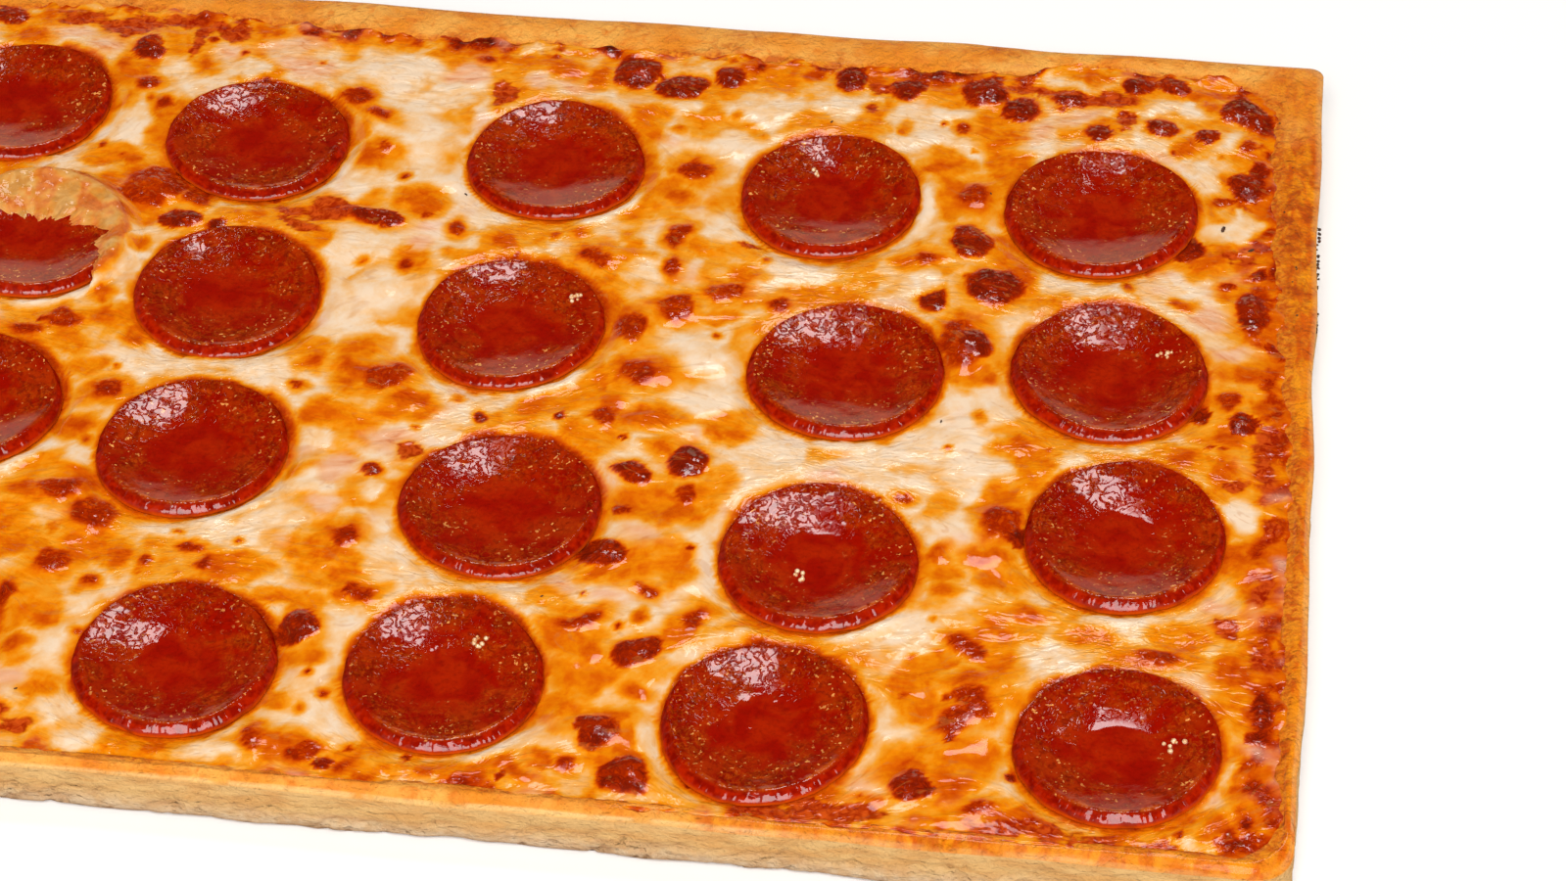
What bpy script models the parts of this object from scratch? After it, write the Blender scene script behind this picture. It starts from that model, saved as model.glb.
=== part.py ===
"""Rectangular pepperoni pizza: a flat tray-baked crust, sauce, melted cheese and cupped slices.

Sizes below are in millimetres, and each mesh is scaled to metres when it is finished. The origin is
the middle of the underside. X runs along the long side, Y to the back and Z up.
"""

import math

import bmesh
import bpy
from mathutils import Matrix, Vector, noise
from mathutils.geometry import delaunay_2d_cdt

MM = 0.001
GAP = 0.35  # between pieces that touch

# Crust: a nine by thirteen inch sheet of dough with a low rim
LENGTH = 330.0
WIDTH = 229.0
OUTER_CORNERS = (7.0, 3.0, 3.5, 5.0)  # front right, back right, back left, front left
INNER_CORNERS = (8.0, 13.0, 11.0, 9.0)
RIM_TOP = 12.2
RIM_SHOULDER = 1.6  # width of the rounded inner shoulder of the rim
BED_TOP = 7.4
BED_INSET = 0.5  # lean of the wall between the bed and the rim
LONG_SIDE_POINTS = 36
SHORT_SIDE_POINTS = 25
CORNER_POINTS = 3

# Sauce and cheese layers
SAUCE_TOP = 8.8
SAUCE_INSET = BED_INSET + GAP
CHEESE_BOTTOM = SAUCE_TOP + 0.3
CHEESE_LEVEL = 11.2
CHEESE_EDGE_TOP = 10.2
CHEESE_INSET = 0.4 + GAP
CHEESE_EDGE_SLOPE = 3.0  # width of the band where the cheese thins to its edge
CHEESE_EDGE_MARGIN = 2.2  # from that band to the first points of the open cheese
CHEESE_CORNER_ZONE = 19.0  # size of the squares at the corners where the outline is round
SAG_REACH = 4.5  # how far beyond a slice's rim the cheese sags
OPEN_GRID = 8.5  # spacing of the points between slices and blisters
POINT_GAP = 1.4  # least spacing of points round the blisters

# Pepperoni: slices an inch and a half across that curled up as they baked
SLICE_THICKNESS = 1.35  # in the middle; the rim is thicker
SLICE_BASE = 9.95
SLICE_LIFT = 2.3  # how far the rim curls above the middle
SLICE_TILT = 0.03  # steepest lean of a slice, as a slope
UNDERSIDE_CURL = 0.45  # share of the lift that the underside follows
SLICE_SIDES = 20
SLICES = (  # centre x, centre y and radius, row by row from the back left
    (-116.0, 71.0, 19.5),
    (-61.5, 64.1, 19.4),
    (3.2, 64.3, 19.1),
    (62.5, 59.1, 19.1),
    (119.5, 59.7, 20.0),
    (-101.0, 27.6, 19.0),
    (-56.8, 15.4, 19.3),
    (2.7, 12.3, 19.1),
    (71.8, 5.5, 19.5),
    (124.0, 11.0, 19.6),
    (-101.0, -22.9, 19.4),
    (-53.0, -30.5, 18.7),
    (10.0, -39.2, 19.4),
    (72.4, -46.4, 19.1),
    (129.5, -34.5, 19.4),
    (-97.0, -84.4, 19.1),
    (-42.5, -86.1, 18.8),
    (7.4, -83.9, 18.7),
    (67.4, -88.8, 19.1),
    (131.4, -87.6, 18.6),
)
COVERED_SLICE = 5  # the slice that a tongue of cheese ran over

# Blisters that rose in the cheese: centre x, centre y and radius
BLISTER_RISE = 0.23  # height as a share of the radius
BLISTERS = (
    (15, 98, 5.5), (26, 93, 6.0), (37, 98, 4.5), (76, 98, 4.5), (92, 99, 6.0), (102, 93, 5.0),
    (120, 95, 6.0), (134, 104, 4.5), (148, 97, 6.0), (150, 75, 5.0), (92, 50, 4.5), (101, 33, 6.0),
    (88, 28, 4.0), (96, 17, 6.0), (95, 64, 5.0), (150, 32, 5.5), (34, 65, 5.5), (32, 40, 5.0),
    (17, 35, 5.5), (46, 28, 5.5), (36, 20, 5.5), (30, 1, 6.0), (-92, 93, 4.5), (-37, 79, 6.0),
    (-76, 47, 8.0), (-31, 43, 8.0), (-19, -6, 7.5), (-74, -14, 5.0), (-71, -54, 7.0), (-19, -75, 5.0),
    (-22, -102, 6.0), (46, -23, 6.5), (34, -29, 4.5), (32, -53, 4.5), (50, -64, 4.5), (43, -74, 6.0),
    (38, -96, 5.0), (45, -105, 5.0), (102, -65, 6.0), (106, -76, 6.0), (95, -99, 5.5), (107, -27, 5.0),
    (-139, 38, 6.0), (-142, -4, 5.5), (-134, -52, 6.5), (-148, 92, 5.0), (-140, -97, 5.5), (-128, 2, 4.5),
)


def smooth(share):
    """Eases from 0 to 1 as share goes from 0 to 1."""
    share = min(1.0, max(0.0, share))
    return share * share * (3.0 - 2.0 * share)


def hump(position, centre, reach):
    """A rounded hump of height 1 at centre that dies away at reach."""
    return smooth(1.0 - abs(position - centre) / reach)


def ripple(x, y, size, layer=0.0):
    """Smooth noise of about -1 to 1 with features of the given size."""
    return 2.0 * noise.noise(Vector((x / size, y / size, layer)))


# Rim widths: narrow at the front, wide at the back, and tapering along the right


def rim_front(x):
    return 5.2 + 0.5 * ripple(x, 0.0, 45.0, 3.1)


def rim_back(x):
    drop = 4.5 * smooth((x - 98.0) / 16.0) + 2.2 * hump(x, 118.0, 20.0)
    return 11.2 - 2.8 * hump(x, -98.0, 55.0) - drop


def rim_right(y):
    return 5.2 + 6.0 * smooth((y + 30.0) / 115.0)


def rim_left(y):
    return 8.0 + 1.6 * ripple(0.0, y, 60.0, 7.7)


def inner_reach(inset):
    """Left, right, front and back limits of the hollow inside the rim, each as a function."""
    half_length = 0.5 * LENGTH
    half_width = 0.5 * WIDTH
    return (
        lambda y: -half_length + rim_left(y) + inset,
        lambda y: half_length - rim_right(y) - inset,
        lambda x: -half_width + rim_front(x) + inset,
        lambda x: half_width - rim_back(x) - inset,
    )


def outer_reach(inset, layer):
    """The same four limits for the crust's own sides, a little uneven from layer to layer."""
    half_length = 0.5 * LENGTH - inset
    half_width = 0.5 * WIDTH - inset
    return (
        lambda y: -half_length + 0.45 * ripple(-30.0, y, 24.0, layer),
        lambda y: half_length - 0.45 * ripple(30.0, y, 24.0, layer),
        lambda x: -half_width + 0.45 * ripple(x, -30.0, 22.0, layer),
        lambda x: half_width - 0.45 * ripple(x, 30.0, 24.0, layer),
    )


def outline(reach, radii):
    """Points round a rectangle with rounded corners, anticlockwise from the front left.

    reach gives its four limits. Every outline has the same count, so that two of them bridge.
    """
    left, right, front, back = reach
    points = []
    near_x, near_y = 0.43 * LENGTH, 0.4 * WIDTH
    corners = (
        (right(-near_y), front(near_x), -90.0, 1, -1),
        (right(near_y), back(near_x), 0.0, 1, 1),
        (left(near_y), back(-near_x), 90.0, -1, 1),
        (left(-near_y), front(-near_x), 180.0, -1, -1),
    )
    sides = (
        (LONG_SIDE_POINTS, front, None),
        (SHORT_SIDE_POINTS, None, right),
        (LONG_SIDE_POINTS, back, None),
        (SHORT_SIDE_POINTS, None, left),
    )
    ends = []
    for radius, (x, y, start, out_x, out_y) in zip(radii, corners):
        centre = Vector((x - out_x * radius, y - out_y * radius))
        arc = []
        for step in range(CORNER_POINTS + 1):
            angle = math.radians(start + 90.0 * step / CORNER_POINTS)
            arc.append(centre + radius * Vector((math.cos(angle), math.sin(angle))))
        ends.append(arc)
    for side, (count, along_x, along_y) in enumerate(sides):
        start, stop = ends[side - 1][-1], ends[side][0]
        for step in range(1, count + 1):
            share = step / (count + 1)
            point = start.lerp(stop, share)
            ease = smooth(5.0 * min(share, 1.0 - share))
            if along_x:
                point.y += ease * (along_x(point.x) - point.y)
            else:
                point.x += ease * (along_y(point.y) - point.x)
            points.append(point)
        points.extend(ends[side])
    return points


def add_loop(mesh, points, height):
    """A closed ring of edges through the points, at a height or at one height for each point."""
    heights = height if isinstance(height, list) else [height] * len(points)
    verts = [mesh.verts.new((p.x, p.y, z)) for p, z in zip(points, heights)]
    return [mesh.edges.new((verts[i - 1], verts[i])) for i in range(len(verts))]


def material(name, colour, roughness):
    made = bpy.data.materials.new(name)
    made.use_nodes = True
    shader = made.node_tree.nodes["Principled BSDF"]
    shader.inputs["Base Color"].default_value = (*colour, 1.0)
    shader.inputs["Roughness"].default_value = roughness
    shader.inputs["Metallic"].default_value = 0.0
    return made


def finish(name, mesh, finish_material, smooth_angle=50.0):
    """Closes the normals, scales to metres and makes the named object."""
    bmesh.ops.recalc_face_normals(mesh, faces=mesh.faces)
    bmesh.ops.triangulate(mesh, faces=mesh.faces)
    mesh.transform(Matrix.Scale(MM, 4))
    data = bpy.data.meshes.new(name)
    mesh.to_mesh(data)
    mesh.free()
    data.materials.append(finish_material)
    data.shade_smooth()
    data.set_sharp_from_angle(angle=math.radians(smooth_angle))
    made = bpy.data.objects.new(name, data)
    bpy.context.scene.collection.objects.link(made)
    return made


# Crust: one sheet of dough, cut square, baked with soft folds along its sides


def fold(x, y, height):
    """How far the soft side of the dough swells or sinks at a point, most near its foot."""
    low = 1.0 - smooth((height - 5.0) / 5.0)
    crease = -1.1 * hump(x, 14.0, 7.0) * hump(y, -0.5 * WIDTH, 12.0)
    return low * (0.55 * ripple(x, y, 14.0, 0.15 * height) + crease)


def side_ring(inset, height, layer):
    """One ring round the crust's side, pushed in and out by the folds."""
    points = outline(outer_reach(inset, layer), OUTER_CORNERS)
    count = len(points)
    for i, point in enumerate(list(points)):
        along = points[(i + 1) % count] - points[i - 1]
        outward = Vector((along.y, -along.x)).normalized()
        points[i] = point + outward * fold(point.x, point.y, height)
    return points


def build_crust(finish_material):
    mesh = bmesh.new()
    crest = outline(inner_reach(0.0), INNER_CORNERS)
    shoulder = outline(inner_reach(-RIM_SHOULDER), INNER_CORNERS)
    outer = outline(outer_reach(1.0, 2.0), OUTER_CORNERS)
    middle = [a.lerp(b, 0.5) for a, b in zip(outer, shoulder)]
    uneven = [RIM_TOP + 0.35 * ripple(p.x, p.y, 19.0, 5.0) for p in middle]
    rings = [
        (side_ring(1.9, 0.0, 1.6), 0.0),
        (side_ring(0.5, 1.1, 1.7), 1.1),
        (side_ring(0.0, 4.2, 1.8), 4.2),
        (side_ring(0.2, 8.2, 1.9), 8.2),
        (side_ring(0.3, 11.2, 2.0), 11.2),
        (outer, [0.5 * (z + RIM_TOP) - 0.3 for z in uneven]),
        (middle, uneven),
        (shoulder, RIM_TOP - 0.6),
        (crest, CHEESE_EDGE_TOP),
        (outline(inner_reach(BED_INSET), INNER_CORNERS), BED_TOP),
    ]
    loops = [add_loop(mesh, points, height) for points, height in rings]
    for lower, upper in zip(loops, loops[1:]):
        bmesh.ops.bridge_loops(mesh, edges=lower + upper)
    bmesh.ops.contextual_create(mesh, geom=loops[0])
    bmesh.ops.contextual_create(mesh, geom=loops[-1])
    return finish("crust", mesh, finish_material)


# Sauce: a thin layer spread on the bed, seen where the cheese stops short of the rim


def build_sauce(finish_material):
    mesh = bmesh.new()
    foot = outline(inner_reach(SAUCE_INSET), INNER_CORNERS)
    brow = outline(inner_reach(SAUCE_INSET + 0.6), INNER_CORNERS)
    loops = [
        add_loop(mesh, foot, BED_TOP + 0.3),
        add_loop(mesh, foot, SAUCE_TOP - 0.5),
        add_loop(mesh, brow, SAUCE_TOP),
    ]
    for lower, upper in zip(loops, loops[1:]):
        bmesh.ops.bridge_loops(mesh, edges=lower + upper)
    bmesh.ops.contextual_create(mesh, geom=loops[0])
    bmesh.ops.contextual_create(mesh, geom=loops[-1])
    return finish("sauce", mesh, finish_material)


# Pepperoni: thin discs whose rims curled up into shallow cups


class Slice:
    """One slice: its place, its curl and its lean, which vary with its number."""

    def __init__(self, number, x, y, radius):
        self.number = number
        self.x, self.y, self.radius = x, y, radius
        turn = 2.4 * number
        self.lift = SLICE_LIFT * (1.0 + 0.2 * math.sin(5.1 * number))
        self.lean = SLICE_TILT * Vector((math.cos(turn), math.sin(turn)))
        self.phase = 1.7 * number

    def out_of_round(self, angle):
        return 1.0 + 0.014 * math.sin(2 * angle + self.phase) + 0.009 * math.sin(3 * angle - self.phase)

    def curl(self, share, angle):
        """Height that the curl adds at a share of the radius."""
        wave = 1.0 + 0.18 * math.sin(2 * angle + 1.3 * self.phase) + 0.1 * math.sin(3 * angle + self.phase)
        return self.lift * wave * share**2.3

    def lean_at(self, dx, dy):
        return self.lean.x * dx + self.lean.y * dy

    def underside(self, x, y):
        """Height of the slice's underside over a point, carried on past its rim."""
        dx, dy = x - self.x, y - self.y
        share = min(1.0, math.hypot(dx, dy) / self.radius)
        angle = math.atan2(dy, dx)
        return SLICE_BASE + UNDERSIDE_CURL * self.curl(share, angle) + self.lean_at(dx, dy)

    def upper_side(self, dx, dy):
        share = math.hypot(dx, dy) / self.radius
        angle = math.atan2(dy, dx)
        return SLICE_BASE + SLICE_THICKNESS + self.curl(share, angle) + self.lean_at(dx, dy)


def build_slice(piece, finish_material):
    """Spins the profile of a disc and curls it by the share of the radius at each point."""
    mesh = bmesh.new()
    profile = (  # share of the radius, and 0 for the underside to 1 for the upper side
        (0.0, 0.0),
        (0.55, 0.0),
        (0.95, 0.0),
        (1.0, 0.45),
        (0.96, 1.0),
        (0.72, 1.0),
        (0.38, 1.0),
        (0.0, 1.0),
    )
    verts = [mesh.verts.new((share * piece.radius, 0.0, side)) for share, side in profile]
    edges = [mesh.edges.new(pair) for pair in zip(verts, verts[1:])]
    bmesh.ops.spin(
        mesh, geom=verts + edges, axis=(0, 0, 1), cent=(0, 0, 0), angle=2 * math.pi,
        steps=SLICE_SIDES, use_merge=True,
    )
    bmesh.ops.remove_doubles(mesh, verts=mesh.verts, dist=0.001)
    for vert in mesh.verts:
        side = vert.co.z
        share = math.hypot(vert.co.x, vert.co.y) / piece.radius
        angle = math.atan2(vert.co.y, vert.co.x)
        dx, dy = vert.co.xy * piece.out_of_round(angle)
        curl = piece.curl(share, angle) * (UNDERSIDE_CURL + (1.0 - UNDERSIDE_CURL) * side)
        height = SLICE_BASE + side * SLICE_THICKNESS + curl + piece.lean_at(dx, dy)
        vert.co = (piece.x + dx, piece.y + dy, height)
    return finish(f"pepperoni_{piece.number + 1:02d}", mesh, finish_material, 60.0)


# Cheese: a melted sheet that sags under each slice and rises in blisters between them


def cheese_top(x, y, slices):
    height = CHEESE_LEVEL + 0.35 * ripple(x, y, 26.0, 1.0) + 0.2 * ripple(x, y, 10.0, 2.0)
    for blister_x, blister_y, radius in BLISTERS:
        share = math.hypot(x - blister_x, y - blister_y) / radius
        if share < 1.0:
            height += BLISTER_RISE * radius * (1.0 - share * share) ** 1.5
    for piece in slices:
        beyond = math.hypot(x - piece.x, y - piece.y) - piece.radius
        if beyond < SAG_REACH:
            height = min(height, piece.underside(x, y) - GAP)
    return height


def ring_points(x, y, radius, count, turn=0.0):
    angles = [turn + 2 * math.pi * i / count for i in range(count)]
    return [Vector((x + radius * math.cos(a), y + radius * math.sin(a))) for a in angles]


def cheese_points(edge, slices):
    """Points that carry the cheese's form: rings at slices and blisters, and a grid between."""
    points = []

    def clear_of(point, distance):
        return all((point - other).length > distance for other in points)

    for piece in slices:
        points.append(Vector((piece.x, piece.y)))
        points += ring_points(piece.x, piece.y, 0.6 * piece.radius, 7, 0.4 * piece.number)
        points += ring_points(piece.x, piece.y, piece.radius - 0.4, 18, 0.3 * piece.number)
    for x, y, radius in BLISTERS:
        points.append(Vector((x, y)))
        for share, count in ((0.5, 6), (0.85, 9), (1.15, 9)):
            ring = ring_points(x, y, share * radius, count, 0.3 * x)
            points += [p for p in ring if clear_of(p, POINT_GAP)]
    columns, rows = round(LENGTH / OPEN_GRID), round(WIDTH / OPEN_GRID)
    for column in range(columns + 1):
        for row in range(rows + 1):
            shift = 0.5 * OPEN_GRID * (row % 2)
            point = Vector((column * OPEN_GRID - 0.5 * LENGTH + shift, row * OPEN_GRID - 0.5 * WIDTH))
            if clear_of(point, 0.55 * OPEN_GRID):
                points.append(point)
    left, right, front, back = edge
    kept = []
    for point in points:
        inside = min(
            point.x - left(point.y), right(point.y) - point.x,
            point.y - front(point.x), back(point.x) - point.y,
        )
        into_x = abs(point.x) - (0.5 * LENGTH - CHEESE_CORNER_ZONE)
        into_y = abs(point.y) - (0.5 * WIDTH - CHEESE_CORNER_ZONE)
        in_corner = min(into_x, into_y) > 0.0 and math.hypot(into_x, into_y) > min(INNER_CORNERS) - 1.0
        if inside > CHEESE_EDGE_SLOPE + CHEESE_EDGE_MARGIN and not in_corner:
            kept.append(point)
    return kept


def build_cheese(slices, finish_material):
    rim = outline(inner_reach(CHEESE_INSET), INNER_CORNERS)
    radii = [radius - 1.5 for radius in INNER_CORNERS]
    shoulder = outline(inner_reach(CHEESE_INSET + CHEESE_EDGE_SLOPE), radii)
    inner = cheese_points(inner_reach(CHEESE_INSET), slices)
    loop = list(range(len(rim)))
    flat, _, faces, *_ = delaunay_2d_cdt(rim + shoulder + inner, [], [loop], 1, 1e-4)
    mesh = bmesh.new()
    verts = []
    for i, point in enumerate(flat):
        height = CHEESE_EDGE_TOP if i < len(rim) else cheese_top(point.x, point.y, slices)
        verts.append(mesh.verts.new((point.x, point.y, height)))
    for face in faces:
        mesh.faces.new([verts[i] for i in face])
    edge = [e for e in mesh.edges if e.is_boundary]
    wall = bmesh.ops.extrude_edge_only(mesh, edges=edge)["geom"]
    for vert in (v for v in wall if isinstance(v, bmesh.types.BMVert)):
        vert.co.z = CHEESE_BOTTOM
    bmesh.ops.contextual_create(mesh, geom=[e for e in mesh.edges if e.is_boundary])
    return finish("cheese", mesh, finish_material, 75.0)


# The tongue of cheese that ran over the back of one slice and browned there

TONGUE_TURN = (-25.0, 150.0)  # sector that it covers, in degrees from +X
TONGUE_THICKNESS = 0.9
TONGUE_STEPS = (14, 4)


def build_tongue(piece, finish_material):
    mesh = bmesh.new()
    around, across = TONGUE_STEPS
    bmesh.ops.create_grid(mesh, x_segments=around, y_segments=across, size=1.0)
    for vert in mesh.verts:
        turn, out = 0.5 * (vert.co.x + 1.0), 0.5 * (vert.co.y + 1.0)
        angle = math.radians(TONGUE_TURN[0] + turn * (TONGUE_TURN[1] - TONGUE_TURN[0]))
        ragged = 0.1 * math.sin(4.0 * angle) + 0.05 * math.sin(7.0 * angle)
        narrow = 0.28 * abs(2.0 * turn - 1.0) ** 2
        inner_share = 0.5 + ragged + narrow
        share = inner_share + out * (0.93 - inner_share)
        dx, dy = (share * piece.radius * math.cos(angle), share * piece.radius * math.sin(angle))
        vert.co = (piece.x + dx, piece.y + dy, piece.upper_side(dx, dy) + GAP)
    lower = list(mesh.faces)
    upper = bmesh.ops.extrude_face_region(mesh, geom=lower, use_keep_orig=True)["geom"]
    for vert in (v for v in upper if isinstance(v, bmesh.types.BMVert)):
        vert.co.z += TONGUE_THICKNESS
    return finish("cheese_tongue", mesh, finish_material)


def main():
    for thing in list(bpy.data.objects):
        bpy.data.objects.remove(thing)
    dough = material("dough", (0.74, 0.47, 0.2), 0.75)
    tomato = material("tomato_sauce", (0.36, 0.035, 0.012), 0.45)
    melted = material("melted_cheese", (0.86, 0.56, 0.25), 0.35)
    cured = material("cured_sausage", (0.3, 0.022, 0.007), 0.25)
    slices = [Slice(number, *place) for number, place in enumerate(SLICES)]
    build_crust(dough)
    build_sauce(tomato)
    build_cheese(slices, melted)
    for piece in slices:
        build_slice(piece, cured)
    build_tongue(slices[COVERED_SLICE], melted)


main()
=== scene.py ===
import math

import bmesh
import bpy
import numpy as np
from mathutils import Matrix, Vector, noise


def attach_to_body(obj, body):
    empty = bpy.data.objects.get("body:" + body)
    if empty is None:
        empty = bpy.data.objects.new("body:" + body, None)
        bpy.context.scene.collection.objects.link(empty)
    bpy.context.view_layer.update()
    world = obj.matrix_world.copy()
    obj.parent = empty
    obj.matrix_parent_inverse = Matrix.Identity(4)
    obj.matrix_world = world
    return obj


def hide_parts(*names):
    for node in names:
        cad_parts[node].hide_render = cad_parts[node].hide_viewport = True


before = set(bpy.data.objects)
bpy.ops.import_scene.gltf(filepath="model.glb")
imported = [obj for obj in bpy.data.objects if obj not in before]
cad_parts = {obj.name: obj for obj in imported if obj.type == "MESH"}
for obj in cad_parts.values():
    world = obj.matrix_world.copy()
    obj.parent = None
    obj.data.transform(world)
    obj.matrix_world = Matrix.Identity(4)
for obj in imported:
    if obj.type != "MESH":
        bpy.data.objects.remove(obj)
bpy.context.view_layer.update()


# Crust
# A sheet of bread dough pressed into a nine by thirteen inch tray and baked with the toppings on. Its low
# rim turned golden, and its sides stayed pale and soft where the tray held them.

MM = 0.001
LENGTH, WIDTH = 330.0, 229.0
OUTER_CORNERS = (7.0, 3.0, 3.5, 5.0)  # front right, back right, back left, front left
INNER_CORNERS = (8.0, 13.0, 11.0, 9.0)
RIM_SHOULDER, CREST, BED = 1.6, 11.0, 7.4  # width and foot of the slope inside the rim; level of the bed
BROWED = 6.5  # height above which the side smooths out into the rim
SIDE_HEIGHTS = (0.0, 0.35, 0.8, 1.4, 2.1, 2.9, 3.7, 4.5, 5.3, 6.1, 6.9, 7.7, 8.5, 9.3, 10.1, 10.8, 11.4)
BROW, SHOULDER = 11.4, 11.6  # heights of the rim's outer and inner turn
LONG_SIDE_POINTS, SHORT_SIDE_POINTS, CORNER_POINTS = 320, 220, 12


def smooth(share):
    share = np.clip(share, 0.0, 1.0)
    return share * share * (3.0 - 2.0 * share)


def hump(position, centre, reach):
    return smooth(1.0 - np.abs(position - centre) / reach)


SLOPES = np.random.default_rng(11).uniform(-1.0, 1.0, (32, 32, 32, 3))


def grain(x, y, z, size, octaves=3, layer=0.0):
    """Noise of about -1 to 1 with features of the given size, at arrays of places in millimetres."""
    spots = np.broadcast_arrays(np.asarray(x, float), y, z)
    places = np.stack([spots[0] / size, spots[1] / size, spots[2] / size + layer], -1)
    total = np.zeros(spots[0].shape)
    for octave in range(octaves):
        scaled = places * 2.0**octave + 7.3 * octave
        cell = np.floor(scaled).astype(int)
        part = scaled - cell
        ease = part**3 * (part * (6.0 * part - 15.0) + 10.0)
        for corner in np.ndindex(2, 2, 2):
            slope = SLOPES[tuple((cell + corner).T % 32)]
            lift = ((part - corner) * slope).sum(-1)
            total += lift * np.prod(np.where(corner, ease, 1.0 - ease), -1) / 2.0**octave
    return 1.3 * total


def ripple(x, y, size, layer=0.0):
    """The slow unevenness of hand-pressed dough."""
    flat = np.broadcast_arrays(np.asarray(x, float), y)
    pairs = zip(flat[0].ravel() / size, flat[1].ravel() / size)
    return 2.0 * np.array([noise.noise((a, b, layer)) for a, b in pairs]).reshape(flat[0].shape)


def rim_front(x):
    return 5.2 + 0.5 * ripple(x, 0.0, 45.0, 3.1)


def rim_back(x):
    drop = 4.5 * smooth((x - 98.0) / 16.0) + 2.2 * hump(x, 118.0, 20.0)
    return 11.2 - 2.8 * hump(x, -98.0, 55.0) - drop


def rim_right(y):
    return 5.2 + 6.0 * smooth((y + 30.0) / 115.0)


def rim_left(y):
    return 8.0 + 1.6 * ripple(0.0, y, 60.0, 7.7)


def inner_reach(inset):
    """Left, right, front and back limits of the hollow inside the rim."""
    return (
        lambda y: -0.5 * LENGTH + rim_left(y) + inset,
        lambda y: 0.5 * LENGTH - rim_right(y) - inset,
        lambda x: -0.5 * WIDTH + rim_front(x) + inset,
        lambda x: 0.5 * WIDTH - rim_back(x) - inset,
    )


def outer_reach(inset, layer):
    """The same limits for the dough's own sides, whose right one steps in near the front."""

    def wave(x, y, size):
        return inset + 0.45 * ripple(x, y, size, layer)

    return (
        lambda y: -0.5 * LENGTH + wave(-30.0, y, 24.0),
        lambda y: 0.5 * LENGTH - wave(30.0, y, 24.0) - 0.9 * smooth((-y - 86.0) / 5.0),
        lambda x: -0.5 * WIDTH + wave(x, -30.0, 22.0),
        lambda x: 0.5 * WIDTH - wave(x, 30.0, 24.0),
    )


def outline(reach, radii):
    """Points round a rectangle with rounded corners and wavy sides, anticlockwise."""
    left, right, front, back = reach
    near_x, near_y = 0.43 * LENGTH, 0.4 * WIDTH
    corners = (
        (right(-near_y), front(near_x), -90.0, 1, -1),
        (right(near_y), back(near_x), 0.0, 1, 1),
        (left(near_y), back(-near_x), 90.0, -1, 1),
        (left(-near_y), front(-near_x), 180.0, -1, -1),
    )
    arcs = []
    for radius, (x, y, start, out_x, out_y) in zip(radii, corners):
        turn = np.radians(start + np.linspace(0.0, 90.0, CORNER_POINTS + 1))
        arcs.append(np.stack([x + radius * (np.cos(turn) - out_x), y + radius * (np.sin(turn) - out_y)], -1))
    points = []
    for side, limit in enumerate((front, right, back, left)):
        count = LONG_SIDE_POINTS if side % 2 == 0 else SHORT_SIDE_POINTS
        share = np.arange(1, count + 1)[:, None] / (count + 1)
        run = arcs[side - 1][-1] + share * (arcs[side][0] - arcs[side - 1][-1])
        across = 1 - side % 2
        ease = smooth(5.0 * np.minimum(share, 1.0 - share))[:, 0]
        run[:, across] += ease * (limit(run[:, 1 - across]) - run[:, across])
        points += [run, arcs[side]]
    return np.concatenate(points)


def fold(x, y, height):
    """How far the soft side swells or sinks, most near its foot."""
    low = 1.0 - smooth((height - 5.0) / 5.0)
    crease = -1.1 * hump(x, 14.0, 7.0) * hump(y, -0.5 * WIDTH, 12.0)
    return low * (0.55 * ripple(x, y, 14.0, 0.15 * height) + crease)


def outward(ring):
    """Unit vectors that point out of a ring of points."""
    along = np.roll(ring, -1, 0) - np.roll(ring, 1, 0)
    normal = np.stack([along[:, 1], -along[:, 0]], -1)
    return normal / np.linalg.norm(normal, axis=1, keepdims=True)


def hollows(x, y, height):
    """The small pits that gas leaves in the side of dough, and the grooves where it flaked."""
    pits = smooth((grain(x, y, 1.6 * height, 3.0, 2, 9.0) - 0.3) / 0.35)
    flakes = smooth(1.0 - np.abs(grain(x, y, 3.0 * height, 9.0, 2, 14.0)) / 0.16)
    flakes *= smooth(0.5 + 1.5 * grain(x, y, height, 13.0, 2, 24.0))
    return np.maximum(0.8 * pits, flakes) * (1.0 - smooth((height - BROWED) / 4.0))


def side_ring(inset, height, layer):
    """One ring round the side, with its folds, creases and hollows."""
    ring = outline(outer_reach(inset, layer), OUTER_CORNERS)
    x, y = ring.T
    low = 1.0 - smooth((height - BROWED) / 4.0)
    creases = np.minimum(grain(x, y, 5.0 * height, 11.0, 3, 4.0), 0.0)
    sink = low * (0.5 * creases - 0.05) - 0.8 * hollows(x, y, height)
    return ring + outward(ring) * (fold(x, y, height) + sink)[:, None]


def blend_rings(start, stop, share):
    return start + share * (stop - start)


def points(mesh):
    return np.array([vert.co[:] for vert in mesh.verts]).T


def grid(columns, rows):
    """A sheet from -1 to 1, and where its points are."""
    mesh = bmesh.new()
    bmesh.ops.create_grid(mesh, x_segments=columns, y_segments=rows, size=1.0)
    return mesh, *points(mesh)[:2]


def move(mesh, x, y, z):
    for vert, place in zip(mesh.verts, np.stack([x, y, z], -1).tolist()):
        vert.co = place


def add_object(name, data):
    thing = bpy.data.objects.new(name, data)
    bpy.context.scene.collection.objects.link(thing)
    return thing


def add_mesh(name, mesh, finish):
    data = bpy.data.meshes.new(name)
    mesh.to_mesh(data)
    mesh.free()
    data.materials.append(finish)
    return add_object(name, data)


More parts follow.
